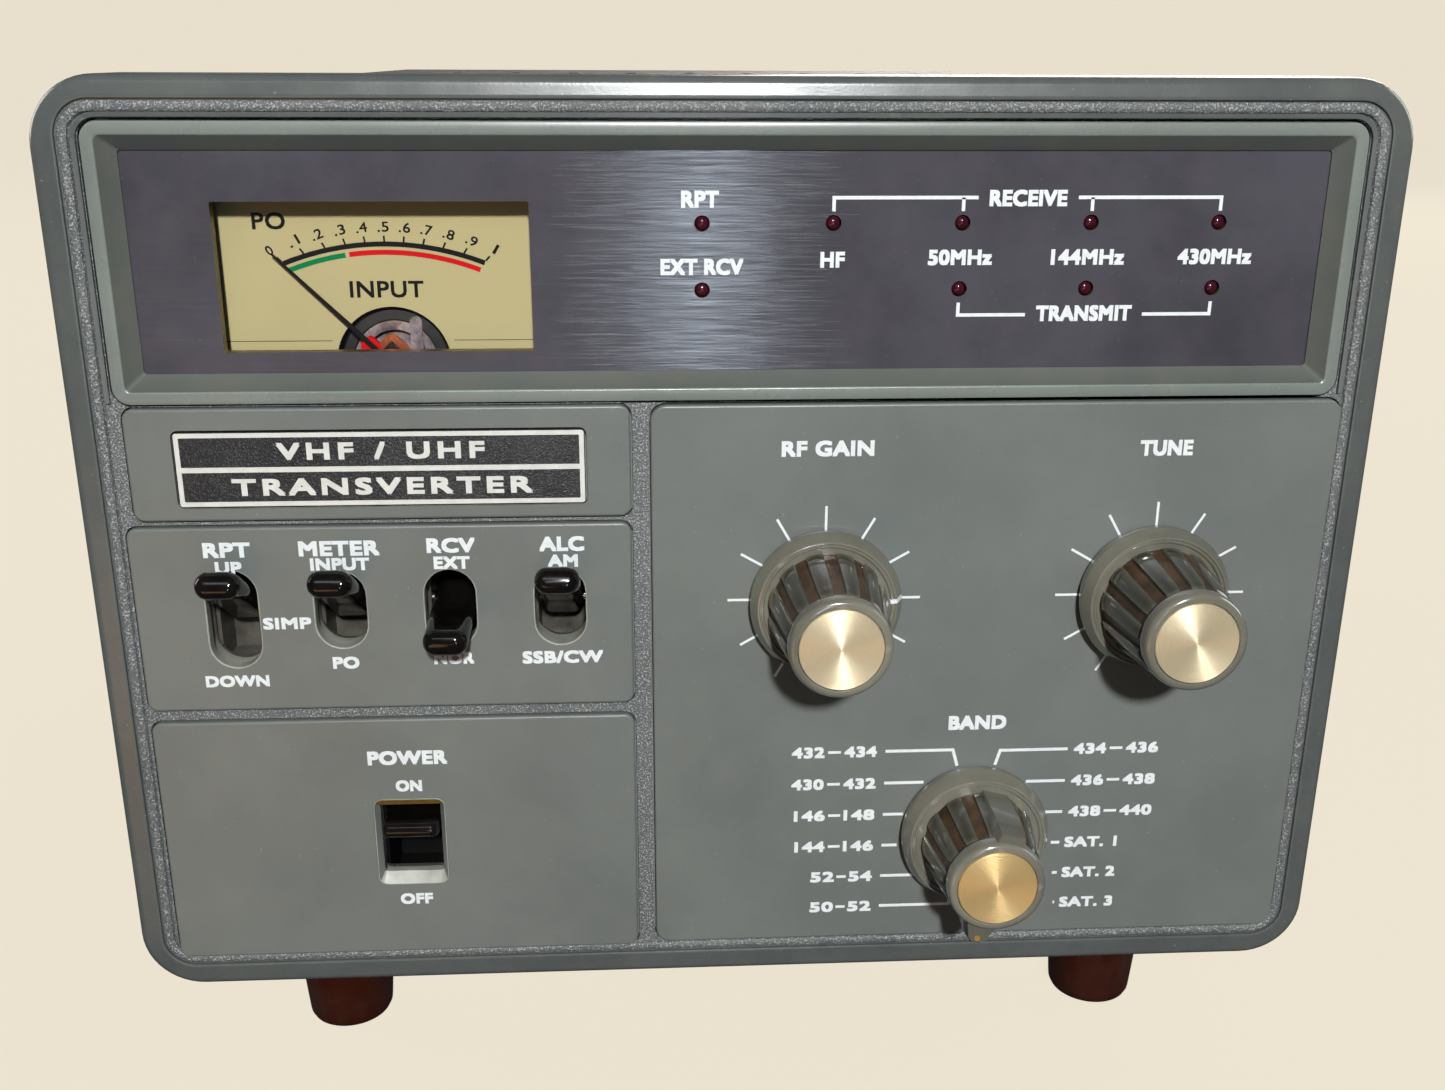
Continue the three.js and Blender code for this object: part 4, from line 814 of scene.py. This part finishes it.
def add_range(bm, text, x, z, width):
    """A band's lower and upper number with a printed dash between them, or a plain word."""
    ends = text.split("–")
    if len(ends) == 1:
        add_text(bm, text, x, z, width, 2.15, 0, bold=0.065)
        return
    number = width * 0.385
    dash = width * 0.075
    add_text(bm, ends[0], x - (width - number) / 2, z, number, 2.15, 0, bold=0.065)
    add_line(bm, [(x - dash, z), (x + dash, z)], 0, 0.5)
    add_text(bm, ends[1], x + (width - number) / 2, z, number, 2.15, 0, bold=0.065)


def make_control_legends():
    bm = bmesh.new()
    for joint in ("rf_gain_turn", "tune_turn"):
        axis = pivot(joint)
        for step in range(11):
            angle = math.radians(30 * step - 150)
            ends = [(axis.x + r * math.sin(angle), axis.z + r * math.cos(angle)) for r in (12.2, 16.3)]
            add_line(bm, ends, 0, 0.42)
    add_text(bm, "RF GAIN", pivot("rf_gain_turn").x, 20.0, 15.2, 2.7, 0)
    add_text(bm, "TUNE", pivot("tune_turn").x + 0.4, 19.5, 8.9, 2.7, 0)
    axis = pivot("band_turn")
    add_text(bm, "BAND", axis.x - 0.2, -29.7, 10.2, 2.7, 0, bold=0.065)
    for side, rows, top, gaps, step in (
            (-1, BAND_LEFT, 15.7, (17.7, 17.7), 0.9), (1, BAND_RIGHT, 15.4, (17.3, 17.1), 0.8)):
        for row, (text, width) in enumerate(rows):
            z = axis.z + top - BAND_PITCH * row
            add_range(bm, text, axis.x + side * (gaps[row // 3] + width / 2), z, width)
            angle = math.radians(side * (15 + 30 * row))
            foot = (axis.x + BAND_FOOT * math.sin(angle), axis.z + BAND_FOOT * math.cos(angle))
            line = [(axis.x + side * 16.2, z), (foot[0] + side * step * (z > foot[1] + 0.4), z)]
            if side > 0 and row > 2:
                line[1] = (axis.x + PLAIN_ENDS[row - 3], z)
            elif abs(z - foot[1]) > 0.7:
                line.append(foot)
            add_line(bm, line, 0)
    finish_piece(bm, "control_legends", "legend")


# Meter --------------------------------------------------------------------------------------------

NEEDLE_LENGTH = 25.4
SCALE_ARC = SimpleNamespace(x=-56.2, z=8.7, radius=43.2, start=-21.7, end=21.7, number_radius=45.9)
SCALE_HOLE = 9.3


def make_scale():
    """The printed card: keyhole for the movement, arcs, ticks, numbers and words."""
    box = extent("meter_scale")
    hub = pivot("needle_swing")
    bm = bmesh.new()
    arc = [math.radians(90 - 180 * i / 48) for i in range(49)]
    over = [(hub.x + SCALE_HOLE * math.sin(a), hub.z + SCALE_HOLE * math.cos(a)) for a in arc]
    outline = [(box.left, box.bottom), (hub.x - SCALE_HOLE, box.bottom), *over[::-1],
               (hub.x + SCALE_HOLE, box.bottom), (box.right, box.bottom), (box.right, box.top),
               (box.left, box.top)]
    loft(bm, [(outline, box.front), (outline, box.back)])
    y = box.front
    add_arc(bm, SCALE_ARC.x, SCALE_ARC.z, SCALE_ARC.radius, SCALE_ARC.start, SCALE_ARC.end, y, 0.8, 1)
    inner = SCALE_ARC.radius - 1.3
    add_arc(bm, SCALE_ARC.x, SCALE_ARC.z, inner, -21.2, -8.3, y, 0.8, 2)
    add_arc(bm, SCALE_ARC.x, SCALE_ARC.z, inner, -7.5, 21.3, y, 0.8, 3)
    for step in range(11):
        angle = math.radians(-45.4 + 8.85 * step)
        ray = Vector((math.sin(angle), math.cos(angle)))

        def reach(radius):
            """Where the needle's ray crosses a circle about the arc's centre."""
            offset = Vector((hub.x - SCALE_ARC.x, hub.z - SCALE_ARC.z))
            along = offset.dot(ray)
            distance = -along + math.sqrt(along**2 - offset.length_squared + radius**2)
            return (hub.x + ray.x * distance, hub.z + ray.y * distance)

        add_line(bm, [reach(SCALE_ARC.radius + 0.4), reach(SCALE_ARC.radius + 1.3)], y, 0.3, 1)
        number = {0: "0", 10: "1"}.get(step, f".{step}")
        x, z = reach(SCALE_ARC.number_radius)
        width = {0: 1.0, 10: 0.5}.get(step, 1.8)
        add_text(bm, number, x, z, width, 1.6, y, 1, tilt=math.degrees(angle) * 0.75, bold=0.02)
    add_text(bm, "PO", -73.9, 55.55, 5.2, 2.7, y, 1, bold=0.03)
    add_text(bm, "INPUT", -56.1, 44.7, 11.8, 2.7, y, 1, bold=0.03)
    block(bm, box.left + 1, hub.x - SCALE_HOLE - 0.5, y - 0.02, y, 36.35, 36.45, 1)
    block(bm, hub.x + SCALE_HOLE + 0.5, box.right - 1, y - 0.02, y, 36.35, 36.45, 1)
    finish_piece(bm, "printed_scale", "card ink green_ink red_ink", ["meter_scale"])


def make_movement():
    """Magnet ring, bridge with its bearing screw, and zero adjuster."""
    hub = pivot("needle_swing")
    bm = bmesh.new()
    turn(bm, [(6.6, 24), (8.8, 24), (8.8, 11.6), (8.5, 11.2), (7.0, 11.2), (6.6, 11.6), (6.6, 24)],
         hub.x, hub.z)
    turn(bm, [(0, 23), (5.0, 23), (5.0, 13.4), (4.7, 13.0), (0, 13.0)], hub.x, hub.z, material=1)
    bridge = rounded(15.4, 3.6, 1.6, hub.x, hub.z, 0, 6)
    loft(bm, [(bridge, 11.0), (bridge, 12.2)], 1)
    for x in (hub.x + 5.8, hub.x - 5.8):
        turn(bm, [(0, 10.4), (0.9, 10.4), (1.1, 10.6), (1.1, 11.2), (0, 11.2)], x, hub.z + 0.2, 24, 2)
    turn(bm, [(5.2, 12.4), (5.2, 11.6), (7.6, 11.4), (8.0, 11.8), (8.0, 12.4)], hub.x, hub.z, material=1)
    arm = rounded(2.0, 7.0, 0.9, hub.x + 3.6, hub.z + 4.0, 0, 6)
    loft(bm, [(arm, 10.7), (arm, 11.0)], 1)
    turn(bm, [(0, 9.9), (1.5, 9.9), (1.7, 10.1), (1.7, 10.7), (0, 10.7)], hub.x, hub.z, 32, 2)
    finish_piece(bm, "movement_parts", "black movement brass",
                 ["meter_movement"], bevel=0.08)


def make_needle():
    """Pointer with its hub, balance arm and the wound coil that carries it."""
    bm = bmesh.new()
    pointer = [(-0.42, -4.6), (0.42, -4.6), (0.36, 8.0), (0.15, NEEDLE_LENGTH), (-0.15, NEEDLE_LENGTH),
               (-0.36, 8.0)]
    loft(bm, [(pointer, -0.2), (pointer, 0.12)])
    turn(bm, [(0, -0.45), (1.4, -0.45), (1.7, -0.25), (1.7, 0.6), (0, 0.6)], sides=32)
    turn(bm, [(0, -0.6), (0.35, -0.6), (0.45, -0.5), (0.45, 1.6), (0, 1.6)], sides=20, material=1)
    coil = [(rounded(7.4, 5.2, 1.2, 0, 1.4, inset, 5), y) for inset, y in
            ((0.0, 0.7), (0.0, 1.6), (1.1, 1.6), (1.1, 0.7))]
    loft(bm, coil, 2, ring=True)
    drum = rounded(2.6, 3.0, 0.8, -0.4, 4.6, 0, 4)
    loft(bm, [(drum, 0.5), (drum, 1.6)], 3)
    weight = rounded(2.2, 1.3, 0.3, 0, -4.2, 0, 4)
    loft(bm, [(weight, -0.35), (weight, 0.3)], 3)
    finish_piece(bm, "needle_parts", "ink nickel copper red_ink", ["meter_needle"],
                 body=JOINTS["needle_swing"]["child"],
                 place=placed(pivot("needle_swing"), REST_ANGLES["needle"], "Y"), bevel=0.04)


# Lever switches -----------------------------------------------------------------------------------

SMALL_HANDLE = dict(width=7.3, root=6.0, waist=4.1, tip=4.5, reach=17.8)
POWER_HANDLE = dict(width=9.9, root=7.0, waist=4.4, tip=3.2, reach=13.6, corner=0.9)


def make_lever(name, joint, node_name, rest, width, root, waist, tip, reach, corner=2.1):
    """A polished handle: rounded hub, slim waist, and a fuller tip with a domed end."""
    sections = [(0.9, 0.3, 2.2), (0.95, 0.7, 1.7), (1, 0.95, 0.8), (1, 1, 0)]
    sections = [(width * wide, root * thick, y) for wide, thick, y in sections]
    sections += [(width, waist, -reach * 0.45), (width, waist, -reach * 0.6)]
    sections.append((width, tip * 0.9, -reach * 0.82))
    dome = 1.9
    start = -(reach + 1.5 - dome)
    for step in range(9):
        angle = math.pi / 2 * step / 8.2
        share = math.cos(angle)
        sections.append((width - tip * 0.75 * (1 - share), tip * (0.15 + 0.85 * share),
                         start - dome * math.sin(angle)))
    outlines = []
    for wide, thick, y in sections:
        outlines.append((rounded(wide, thick, min(thick / 2 - 0.02, corner), steps=6), y))
    bm = bmesh.new()
    loft(bm, outlines)
    finish_piece(bm, name, "lever", [node_name], body=JOINTS[joint]["child"],
                 place=placed(pivot(joint), -rest, "X"), sharp=60)


def make_pin(name, joint, length, radius=1.2):
    """The steel pin that a lever turns on."""
    half = length / 2
    bm = bmesh.new()
    turn(bm, [(0, -half), (radius - 0.2, -half), (radius, 0.2 - half), (radius, half - 0.2),
              (radius - 0.2, half), (0, half)], sides=24)
    finish_piece(bm, name, "nickel", body=JOINTS[joint]["child"],
                 place=placed(pivot(joint), 90, "Z"))


# Rotary controls ----------------------------------------------------------------------------------

FLUTES = 12
CAP_RADIUS = 6.6


SKIRT = [(0.5, -0.6), (0.25, -0.8), (0.05, -1.8), (0, -2.8), (0.15, -3.1), (0.5, -3.7), (1.0, -4.75),
         (1.15, -4.95), (1.35, -4.98), (1.5, -4.8), (1.65, -4.8), (1.8, -4.95), (2.0, -4.9), (2.2, -4.6)]
FRONT_RING = [(7.3, 3), (7.9, 3.15), (8.15, 2.9), (8.25, 2.4), (8.2, 0.8), (8.05, 0.35), (7.75, 0.08),
              (7.4, 0), (6.95, 0), (6.8, 0.15), (6.75, 1.2), (0, 1.2)]


def make_skirt_and_body(bm, tip, rim):
    """The flared skirt, fluted body and smooth front ring of a knob, pointer upwards."""
    # The skirt and the front ring take the lighter skirt material, a painted reflection.
    skirt = [(6.2, -0.6), *((rim - inset, y) for inset, y in SKIRT), (8.8, -4.5)]
    turn(bm, skirt, sides=96, material=3)
    back, front = -4.5, tip + 3.3
    lean = (10.1 - 8.35) / (back - front)
    core = lambda y: 9.45 - lean * (back - y)
    # The core between the flutes takes the groove material, brown from dust and a painted warm reflection.
    turn(bm, [(core(back), back), (core(front), front), (7.3, tip + 3)], sides=96, material=1)
    turn(bm, FRONT_RING, sides=96, material=3, start=tip)
    half = math.radians(180 / FLUTES * 0.62)
    levels = [(-5.0, 0.0, 1.0), (-5.2, 0.5, 0.98), (-5.7, 0.65, 0.96), (tip + 4.6, 0.65, 0.92),
              (tip + 3.8, 0.45, 0.9), (tip + 3.35, 0.0, 0.9)]
    for flute in range(FLUTES):
        middle = 2 * math.pi * (flute + 0.5) / FLUTES
        sections = []
        for y, rise, narrow in levels:
            low = core(y) - 0.3
            high = core(y) + rise
            arch = [(-1, low), (-0.99, high - 0.2), (-0.9, high), (-0.45, high + 0.06), (0, high + 0.09),
                    (0.45, high + 0.06), (0.9, high), (0.99, high - 0.2), (1, low)]
            points = []
            for share, radius in arch:
                angle = middle + half * share * narrow
                points.append((max(radius, low) * math.sin(angle), max(radius, low) * math.cos(angle)))
            sections.append((points, y))
        loft(bm, sections)


def add_fin(bm, tip):
    """The band knob's bar: flat tail, waist, and a narrow nose that carries a dot."""
    half = [(2.3, -9.9), (3.7, -4), (5.2, 0), (4.3, 5.0), (1.7, 11.2), (0.9, 11.9)]
    fin = half + [(-x, z) for x, z in half[::-1]]
    sections = [(1, -4.7), (1, tip + 4.4), (0.985, tip + 4.0), (0.92, tip + 1.2), (0.88, tip + 0.9)]
    loft(bm, [([(x * share, z * (1 + share) / 2) for x, z in fin], y) for share, y in sections])
    dot = circle(0.5, 0, 10.4, 20)
    loft(bm, [(dot, tip + 0.8), (dot, tip + 1.6)], 2)


def add_index(bm, rim):
    """The short pale dash over the skirt's edge that marks the pointer."""
    lean = math.radians(-6)
    mark = [(rim - 2.3, -4.6), (rim - 2.25, -5.05), (rim - 1.1, -5.02), (rim - 0.95, -4.8), (rim - 0.4, -3.7),
            (rim - 0.05, -3.0), (rim - 0.6, -3.0), (rim - 1.4, -4.6)]
    ends = []
    for side in (-0.36, 0.36):
        ends.append([bm.verts.new((radius * math.sin(lean) + side * math.cos(lean), y,
                                   radius * math.cos(lean) - side * math.sin(lean))) for radius, y in mark])
    skin(bm, *ends, 2)
    for end in ends:
        fill(bm, [end], 2)


def make_cap(name, tip, body, place):
    """A spun disc: fine ridges about its middle, inside a thin bright edge."""
    bm = bmesh.new()
    points = 4 * 24
    wave = (0, 0.036, 0, -0.036)
    profile = [(0, -0.12)]
    for i in range(1, points):
        share = i / points
        profile.append((CAP_RADIUS * share, -0.12 + 0.1 * share**2 + wave[i % 4]))
    profile += [(CAP_RADIUS, -0.02), (CAP_RADIUS + 0.1, 0.1), (CAP_RADIUS + 0.1, 1.1), (0, 1.1)]
    turn(bm, profile, sides=96, start=tip)
    finish_piece(bm, f"{name}_cap_detail", "gold" if name == "band" else "pale_gold",
                 [f"{name}_cap"], body=body, place=place, sharp=60)


def make_knobs():
    for name, joint in CONTROL_JOINTS.items():
        body = JOINTS[joint]["child"]
        axis = pivot(joint)
        tip = extent(f"{name}_knob").front
        place = placed((axis.x, 0, axis.z), REST_ANGLES[name], "Y")
        rim = 13.1 if name == "band" else 12.7
        bm = bmesh.new()
        make_skirt_and_body(bm, tip, rim)
        if name == "band":
            add_fin(bm, tip)
        else:
            add_index(bm, rim)
        mark = "gold_dot" if name == "band" else "legend"
        finish_piece(bm, f"{name}_knob_detail", f"knob knob_groove {mark} skirt",
                     [f"{name}_knob"], body=body, place=place, sharp=40)
        make_cap(name, tip, body, place)


# Case ---------------------------------------------------------------------------------------------

CASE_CORNER = 9.5
SHEET = 1.2
VENT = SimpleNamespace(count=9, pitch=17.0, width=3.0, length=60.0, rows=(110.0, 200.0))


def make_cover(name, side, replaces):
    """A bent steel shell with rounded long edges and two rows of cooling slots."""
    box = extent(name)
    bm = bmesh.new()
    far = box.top if side > 0 else box.bottom
    seam = box.bottom if side > 0 else box.top
    flat = box.right - CASE_CORNER

    def path(inset):
        points = [(box.right - inset, seam)]
        for step in range(13):
            angle = math.pi / 2 * step / 12
            points.append((flat + (CASE_CORNER - inset) * math.cos(angle),
                           far - side * CASE_CORNER + side * (CASE_CORNER - inset) * math.sin(angle)))
        return points

    for mirror in (1, -1):
        outer = [(mirror * x, z) for x, z in path(0)]
        inner = [(mirror * x, z) for x, z in path(SHEET)]
        outline = outer + inner[::-1]
        loft(bm, [(outline, box.front), (outline, box.back)])
    corners = [(-flat, box.front), (flat, box.front), (flat, box.back), (-flat, box.back)]
    holes = []
    for i in range(VENT.count):
        x = (i - (VENT.count - 1) / 2) * VENT.pitch
        for y in VENT.rows:
            holes.append(rounded(VENT.width, VENT.length, VENT.width / 2 - 0.01, x, y, steps=5))
    levels = []
    for z in (far, far - side * SHEET):
        levels.append([[bm.verts.new((x, y, z)) for x, y in loop] for loop in (corners, *holes)])
    for rings in levels:
        fill(bm, rings)
    for first, second in zip(*levels):
        skin(bm, first, second)
    finish_piece(bm, name + "_shell", "case", replaces, sharp=30)


def screw(bm, place, radius=2.6):
    """A pan head with a thin black cross on its face standing in for the shade of its crossed recess (painted
    shade), built along -y and moved by place.
    """
    head = bmesh.new()
    turn(head, [(0, -1.1), (radius * 0.5, -1.05), (radius * 0.85, -0.75), (radius, -0.3), (radius, 0.2),
                (0, 0.2)], sides=32)
    # The black cross is painted shade, in place of a cut recess.
    for wide, tall in ((radius * 1.1, 0.55), (0.55, radius * 1.1)):
        block(head, -wide / 2, wide / 2, -1.13, -0.9, -tall / 2, tall / 2, 1)
    mesh = bpy.data.meshes.new("screw")
    head.to_mesh(mesh)
    head.free()
    mesh.transform(place)
    bm.from_mesh(mesh)
    bpy.data.meshes.remove(mesh)


def make_case_screws():
    box = extent("top_cover")
    bm = bmesh.new()
    for side in (-1, 1):
        outward = Matrix.Rotation(side * math.pi / 2, 4, "Z")
        for y in (40, 150, 270):
            for z in (box.bottom + 9, box.bottom - 9):
                screw(bm, Matrix.Translation((side * (box.right + 0.15), y, z)) @ outward)
    finish_piece(bm, "case_screws", "nickel ink")


def make_feet():
    for name in ("front_left_foot", "front_right_foot", "rear_left_foot", "rear_right_foot"):
        box = extent(name)
        bm = bmesh.new()
        top = box.height
        profile = [(0, 2.0), (2.6, 2.0), (2.6, 0.0), (6.8, 0.0), (7.6, 0.3), (8.0, 1.1), (8.1, 2.0),
                   (9.2, top * 0.6), (10.0, top - 4.0), (10.6, top - 1.6), (11.0, top), (0, top)]
        turn(bm, profile, sides=56)
        turn(bm, [(0, 1.2), (1.4, 1.3), (2.2, 1.9), (2.2, 2.1), (0, 2.1)], sides=24, material=1)
        finish_piece(bm, name + "_detail", "rubber zinc", [name],
                     place=placed((box.x, box.y, box.bottom), 90, "X"))


# Rear ---------------------------------------------------------------------------------------------

AERIAL_SOCKETS = ("low_band_socket", "middle_band_socket", "high_band_socket")
REAR_HOLES = {**dict.fromkeys(AERIAL_SOCKETS, 7.7), "fuse_holder": 7.3, "accessory_socket": 9.8,
              "ground_terminal": 2.8}  # radii


def make_rear_panel():
    box = extent("rear_panel")
    holes = []
    for name, radius in REAR_HOLES.items():
        middle = extent(name)
        holes.append(round_hole(radius, middle.x, middle.z, 24 if radius < 3 else 40))
    holes.append(outline_about(extent("power_inlet"), 28.6, 20.6, 2, 4))
    bm = bmesh.new()
    plate(bm, outline_of(box, 8.0), box.front, box.back, holes=holes)
    finish_piece(bm, "rear_panel_sheet", "zinc", ["rear_panel"], bevel=0.15)
    bm = bmesh.new()
    facing = Matrix.Rotation(math.pi, 4, "Z")
    for x, z in ((-95, 66), (95, 66), (-95, -66), (95, -66), (0, 67), (0, -67)):
        screw(bm, Matrix.Translation((x, box.back + 0.1, z)) @ facing)
    finish_piece(bm, "rear_screws", "nickel ink")


def make_aerial_sockets():
    for name in AERIAL_SOCKETS:
        box = extent(name)
        x, z, back = box.x, box.z, box.back
        face = back - 18
        bm = bmesh.new()
        holes = [round_hole(1.6, x + across, z + up, 20)
                 for across, up in ((-9.3, -9.3), (9.3, -9.3), (9.3, 9.3), (-9.3, 9.3))]
        plate(bm, outline_about(box, 25, 25, 2, 5), face, face + 2, holes=holes)
        profile = [(7.2, box.front + 6 - face), (7.2, 0), (7.2, 2.0)]
        for thread in range(11):
            y = 3.0 + thread * 1.15
            profile += [(7.35, y), (7.85, y + 0.35), (7.85, y + 0.6), (7.35, y + 0.95)]
        profile += [(7.4, 17.7), (7.1, 18), (5.9, 18), (5.8, 17.8), (5.8, 9), (0, 9)]
        turn(bm, profile, x, z, 48, start=face)
        turn(bm, [(0, -9), (3.6, -9), (3.6, -2.2), (1.9, -2.0), (1.9, -8), (0, -8)], x, z, 40, 1, start=back)
        turn(bm, [(0, -8), (1.8, -8), (1.8, -2.4), (1.2, -2.4), (1.2, -7), (0, -7)], x, z, 32, 2, start=back)
        turn(bm, [(0, 0), (1.5, 0), (1.5, 7), (0, 7)], x, z, 20, 2, start=box.front)
        finish_piece(bm, name + "_detail", "nickel ptfe brass", [name])


def make_jacks():
    box = extent("jack_strip")
    face = box.back - 11
    bm = bmesh.new()
    plate(bm, outline_of(box, 2, steps=5), face, face + 1.6)
    shell = [(4.4, 1.5), (4.4, 2.6), (4.15, 3), (4.15, 10.4), (3.9, 11), (3.3, 11), (3.3, 9.4), (0, 9.4)]
    insulator = [(0, 9.4), (3.25, 9.4), (3.25, 10.3), (1.5, 10.3), (1.5, 9.5), (0, 9.5)]
    for i in range(4):
        x = box.x + (i - 1.5) * 16
        turn(bm, [(0, box.front), (4.9, box.front), (4.9, face + 0.1), (0, face + 0.1)], x, box.z, 40)
        turn(bm, shell, x, box.z, 40, 1, start=face)
        turn(bm, insulator, x, box.z, 40, 2, start=face)
    finish_piece(bm, "phono_jacks", "black nickel ptfe", ["jack_strip"])


def make_accessory_socket():
    box = extent("accessory_socket")
    back = box.back
    bm = bmesh.new()
    turn(bm, [(0, -box.depth), (9.5, -box.depth), (9.5, -1.8), (12.4, -1.8), (12.5, -1.6), (12.5, -0.3),
              (12.2, 0), (8.0, 0), (7.5, -0.4), (7.5, -8.8), (0, -8.8)], box.x, box.z, 56, start=back)
    turn(bm, [(0, -8.8), (7.45, -8.8), (7.45, -7.2), (0, -7.2)], box.x, box.z, 48, 1, start=back)
    pin = [(0, -7.3), (0.7, -7.3), (0.7, -2.6), (0.4, -2.1), (0, -2.0)]
    for i in range(8):
        angle = math.radians(25 + 310 / 7 * i)
        turn(bm, pin, box.x + 4.9 * math.sin(angle), box.z - 4.9 * math.cos(angle), 16, 2, start=back)
    block(bm, box.x - 1, box.x + 1, back - 7.3, back - 0.6, box.z + 6.3, box.z + 7.5, 1)
    finish_piece(bm, "accessory_socket_detail", "nickel black brass", ["accessory_socket"])


def make_fuse_holder():
    box = extent("fuse_holder")
    face = box.back - 11
    rear = box.front - face
    bm = bmesh.new()
    turn(bm, [(0, rear), (6.6, rear), (6.9, rear + 0.4), (6.9, 0), (8.9, 0.1), (9, 0.5), (9, 2.2), (8.7, 2.5),
              (6.4, 2.5), (6.4, 3.0)], box.x, box.z, 48, start=face)
    ridged = lambda angle, radius: radius - 0.28 * (math.cos(18 * angle) > 0) * (6.0 < radius)
    turn(bm, [(0, 3.0), (6.9, 3.0), (6.9, 9.4), (6.5, 10.4), (5.6, 11), (0, 11)], box.x, box.z, 144,
         shape=ridged, start=face)
    # A thin black bar across the cap's end stands in for the shade of its slot (painted shade).
    block(bm, box.x - 4, box.x + 4, face + 10.5, face + 11.02, box.z - 0.6, box.z + 0.6, 1)
    finish_piece(bm, "fuse_cap", "black ink", ["fuse_holder"], sharp=30)


def make_inlet():
    box = extent("power_inlet")
    face = box.back - 2.4
    recess = outline_about(box, 24, 16, 1.5, 5)
    cup = outline_about(box, 28, 20, 2, 5)
    screws = [round_hole(1.4, box.x + across, box.z, 20) for across in (-15.5, 15.5)]
    bm = bmesh.new()
    plate(bm, outline_of(box, 3, steps=6), face, box.back, holes=[recess, *screws])
    loft(bm, [(recess(0), face), (cup(0), face), (cup(0), box.front), (cup(3), box.front)], caps=False)
    fill(bm, [ring_of(bm, cup(3), box.front)])
    loft(bm, [(recess(0), face), (recess(0), face - 15.3)], caps=False)
    fill(bm, [ring_of(bm, recess(0), face - 15.3)])
    for across in (-6, 6):
        blade = rounded(5, 1.6, 0.7, box.x + across, box.z, steps=4)
        loft(bm, [(blade, face - 15.4), (blade, face - 1.8)], 1)
    finish_piece(bm, "mains_inlet", "black brass", ["power_inlet"], bevel=0.15)


def make_ground_terminal():
    box = extent("ground_terminal")
    face = box.back - 18
    bm = bmesh.new()
    threads = [(0, box.front), (2.4, box.front)]
    for i in range(24):
        y = box.front + 0.6 + i * (box.depth - 1.2) / 24
        threads += [(2.5, y), (2.15, y + 0.5)]
    turn(bm, threads + [(2.0, box.back - 0.3), (1.6, box.back), (0, box.back)], box.x, box.z, 32)
    nut = [(4.7, 0), (5, 0.3), (5, 2.7), (4.7, 3)]
    loft(bm, [(circle(radius, box.x, box.z, 6), face + y) for radius, y in nut])
    turn(bm, [(0, 5), (4.4, 5), (4.2, 8), (3.4, 11), (0, 11)], box.x, box.z, 32, start=face)
    wing = [(3.4, 5.6), (6.5, 5.8), (10.2, 8.2), (11, 11.2), (9.6, 12.9), (7.4, 12.2), (5.0, 9.6), (3.4, 9.0)]
    for side in (-1, 1):
        outline = [(box.x + side * x, face + y) for x, y in wing]
        upright(bm, outline, box.z - 1.1, box.z + 1.1)
    finish_piece(bm, "wing_terminal", "nickel", ["ground_terminal"], bevel=0.2)


def make_heat_sink():
    box = extent("heat_sink")
    base = box.front + 4
    fins, thickness = 13, 2.2
    pitch = (box.width - thickness) / (fins - 1)
    profile = [(0, base - 0.5), (thickness, base - 0.5), (2.0, box.back - 0.5), (1.6, box.back),
               (0.6, box.back), (0.2, box.back - 0.5)]
    bm = bmesh.new()
    block(bm, box.left, box.right, box.front, base, box.bottom, box.top)
    for i in range(fins):
        left = box.left + i * pitch
        upright(bm, [(left + x, y) for x, y in profile], box.bottom, box.top)
    finish_piece(bm, "finned_heat_sink", "cast", ["heat_sink"], bevel=0.15)


# CAD nodes that stay, with better materials ---------------------------------------------------------

def dress_cad_nodes():
    dressed = {
        "slider": ["rpt_switch_body", "meter_switch_body", "rcv_switch_body", "alc_switch_body"],
        "zinc": ["sub_panel", "chassis", "rf_gain_potentiometer", "tune_potentiometer", "band_rotary_switch"],
        "black": ["meter_housing", "filter_capacitors"],
        # The power switch body near black: painted shade inside its opening.
        "recess": ["power_switch_body"],
        "nickel": ["rf_gain_shaft", "tune_shaft", "band_shaft", "low_band_module", "middle_band_module",
                   "high_band_module"],
        "board": ["main_board"],
        "laminations": ["power_transformer"],
        "clear": ["meter_lens"],
    }
    for look, names in dressed.items():
        for name in names:
            mesh = frame["nodes"][name].data
            mesh.materials.clear()
            mesh.materials.append(getattr(LOOK, look))


# Making everything --------------------------------------------------------------------------------

def rest_angle(joint):
    """Where a control with equal travel either side of its zero points at rest."""
    low, high = JOINTS[joint]["range_deg"]
    return -(low + high) / 2


REST_ANGLES = {name: rest_angle(joint) for name, joint in CONTROL_JOINTS.items()}
REST_ANGLES["needle"] = -45

make_camera()
make_studio()
make_floor()
LOOK = make_materials()
make_bezel()
make_window_lip()
make_window_frame()
make_window_panel()
make_lamp_board()
make_plates()
make_power_liner()
make_badge()
make_window_legends()
make_switch_legends()
make_control_legends()
make_scale()
make_movement()
make_needle()
for name, joint_name in LEVER_JOINTS.items():
    rest = -4.5 if name == "rcv" else 28
    make_lever(f"{name}_lever_handle", joint_name, f"{name}_switch_lever", rest, **SMALL_HANDLE)
    make_pin(f"{name}_lever_pin", joint_name, 12)
make_lever("power_lever_handle", "power_tilt", "power_switch_lever", 12, **POWER_HANDLE)
make_pin("power_lever_pin", "power_tilt", 15)
make_knobs()
make_cover("top_cover", 1, ["top_cover"])
make_cover("bottom_cover", -1, ["bottom_cover"])
make_case_screws()
make_feet()
make_rear_panel()
make_aerial_sockets()
make_jacks()
make_accessory_socket()
make_fuse_holder()
make_inlet()
make_ground_terminal()
make_heat_sink()
dress_cad_nodes()
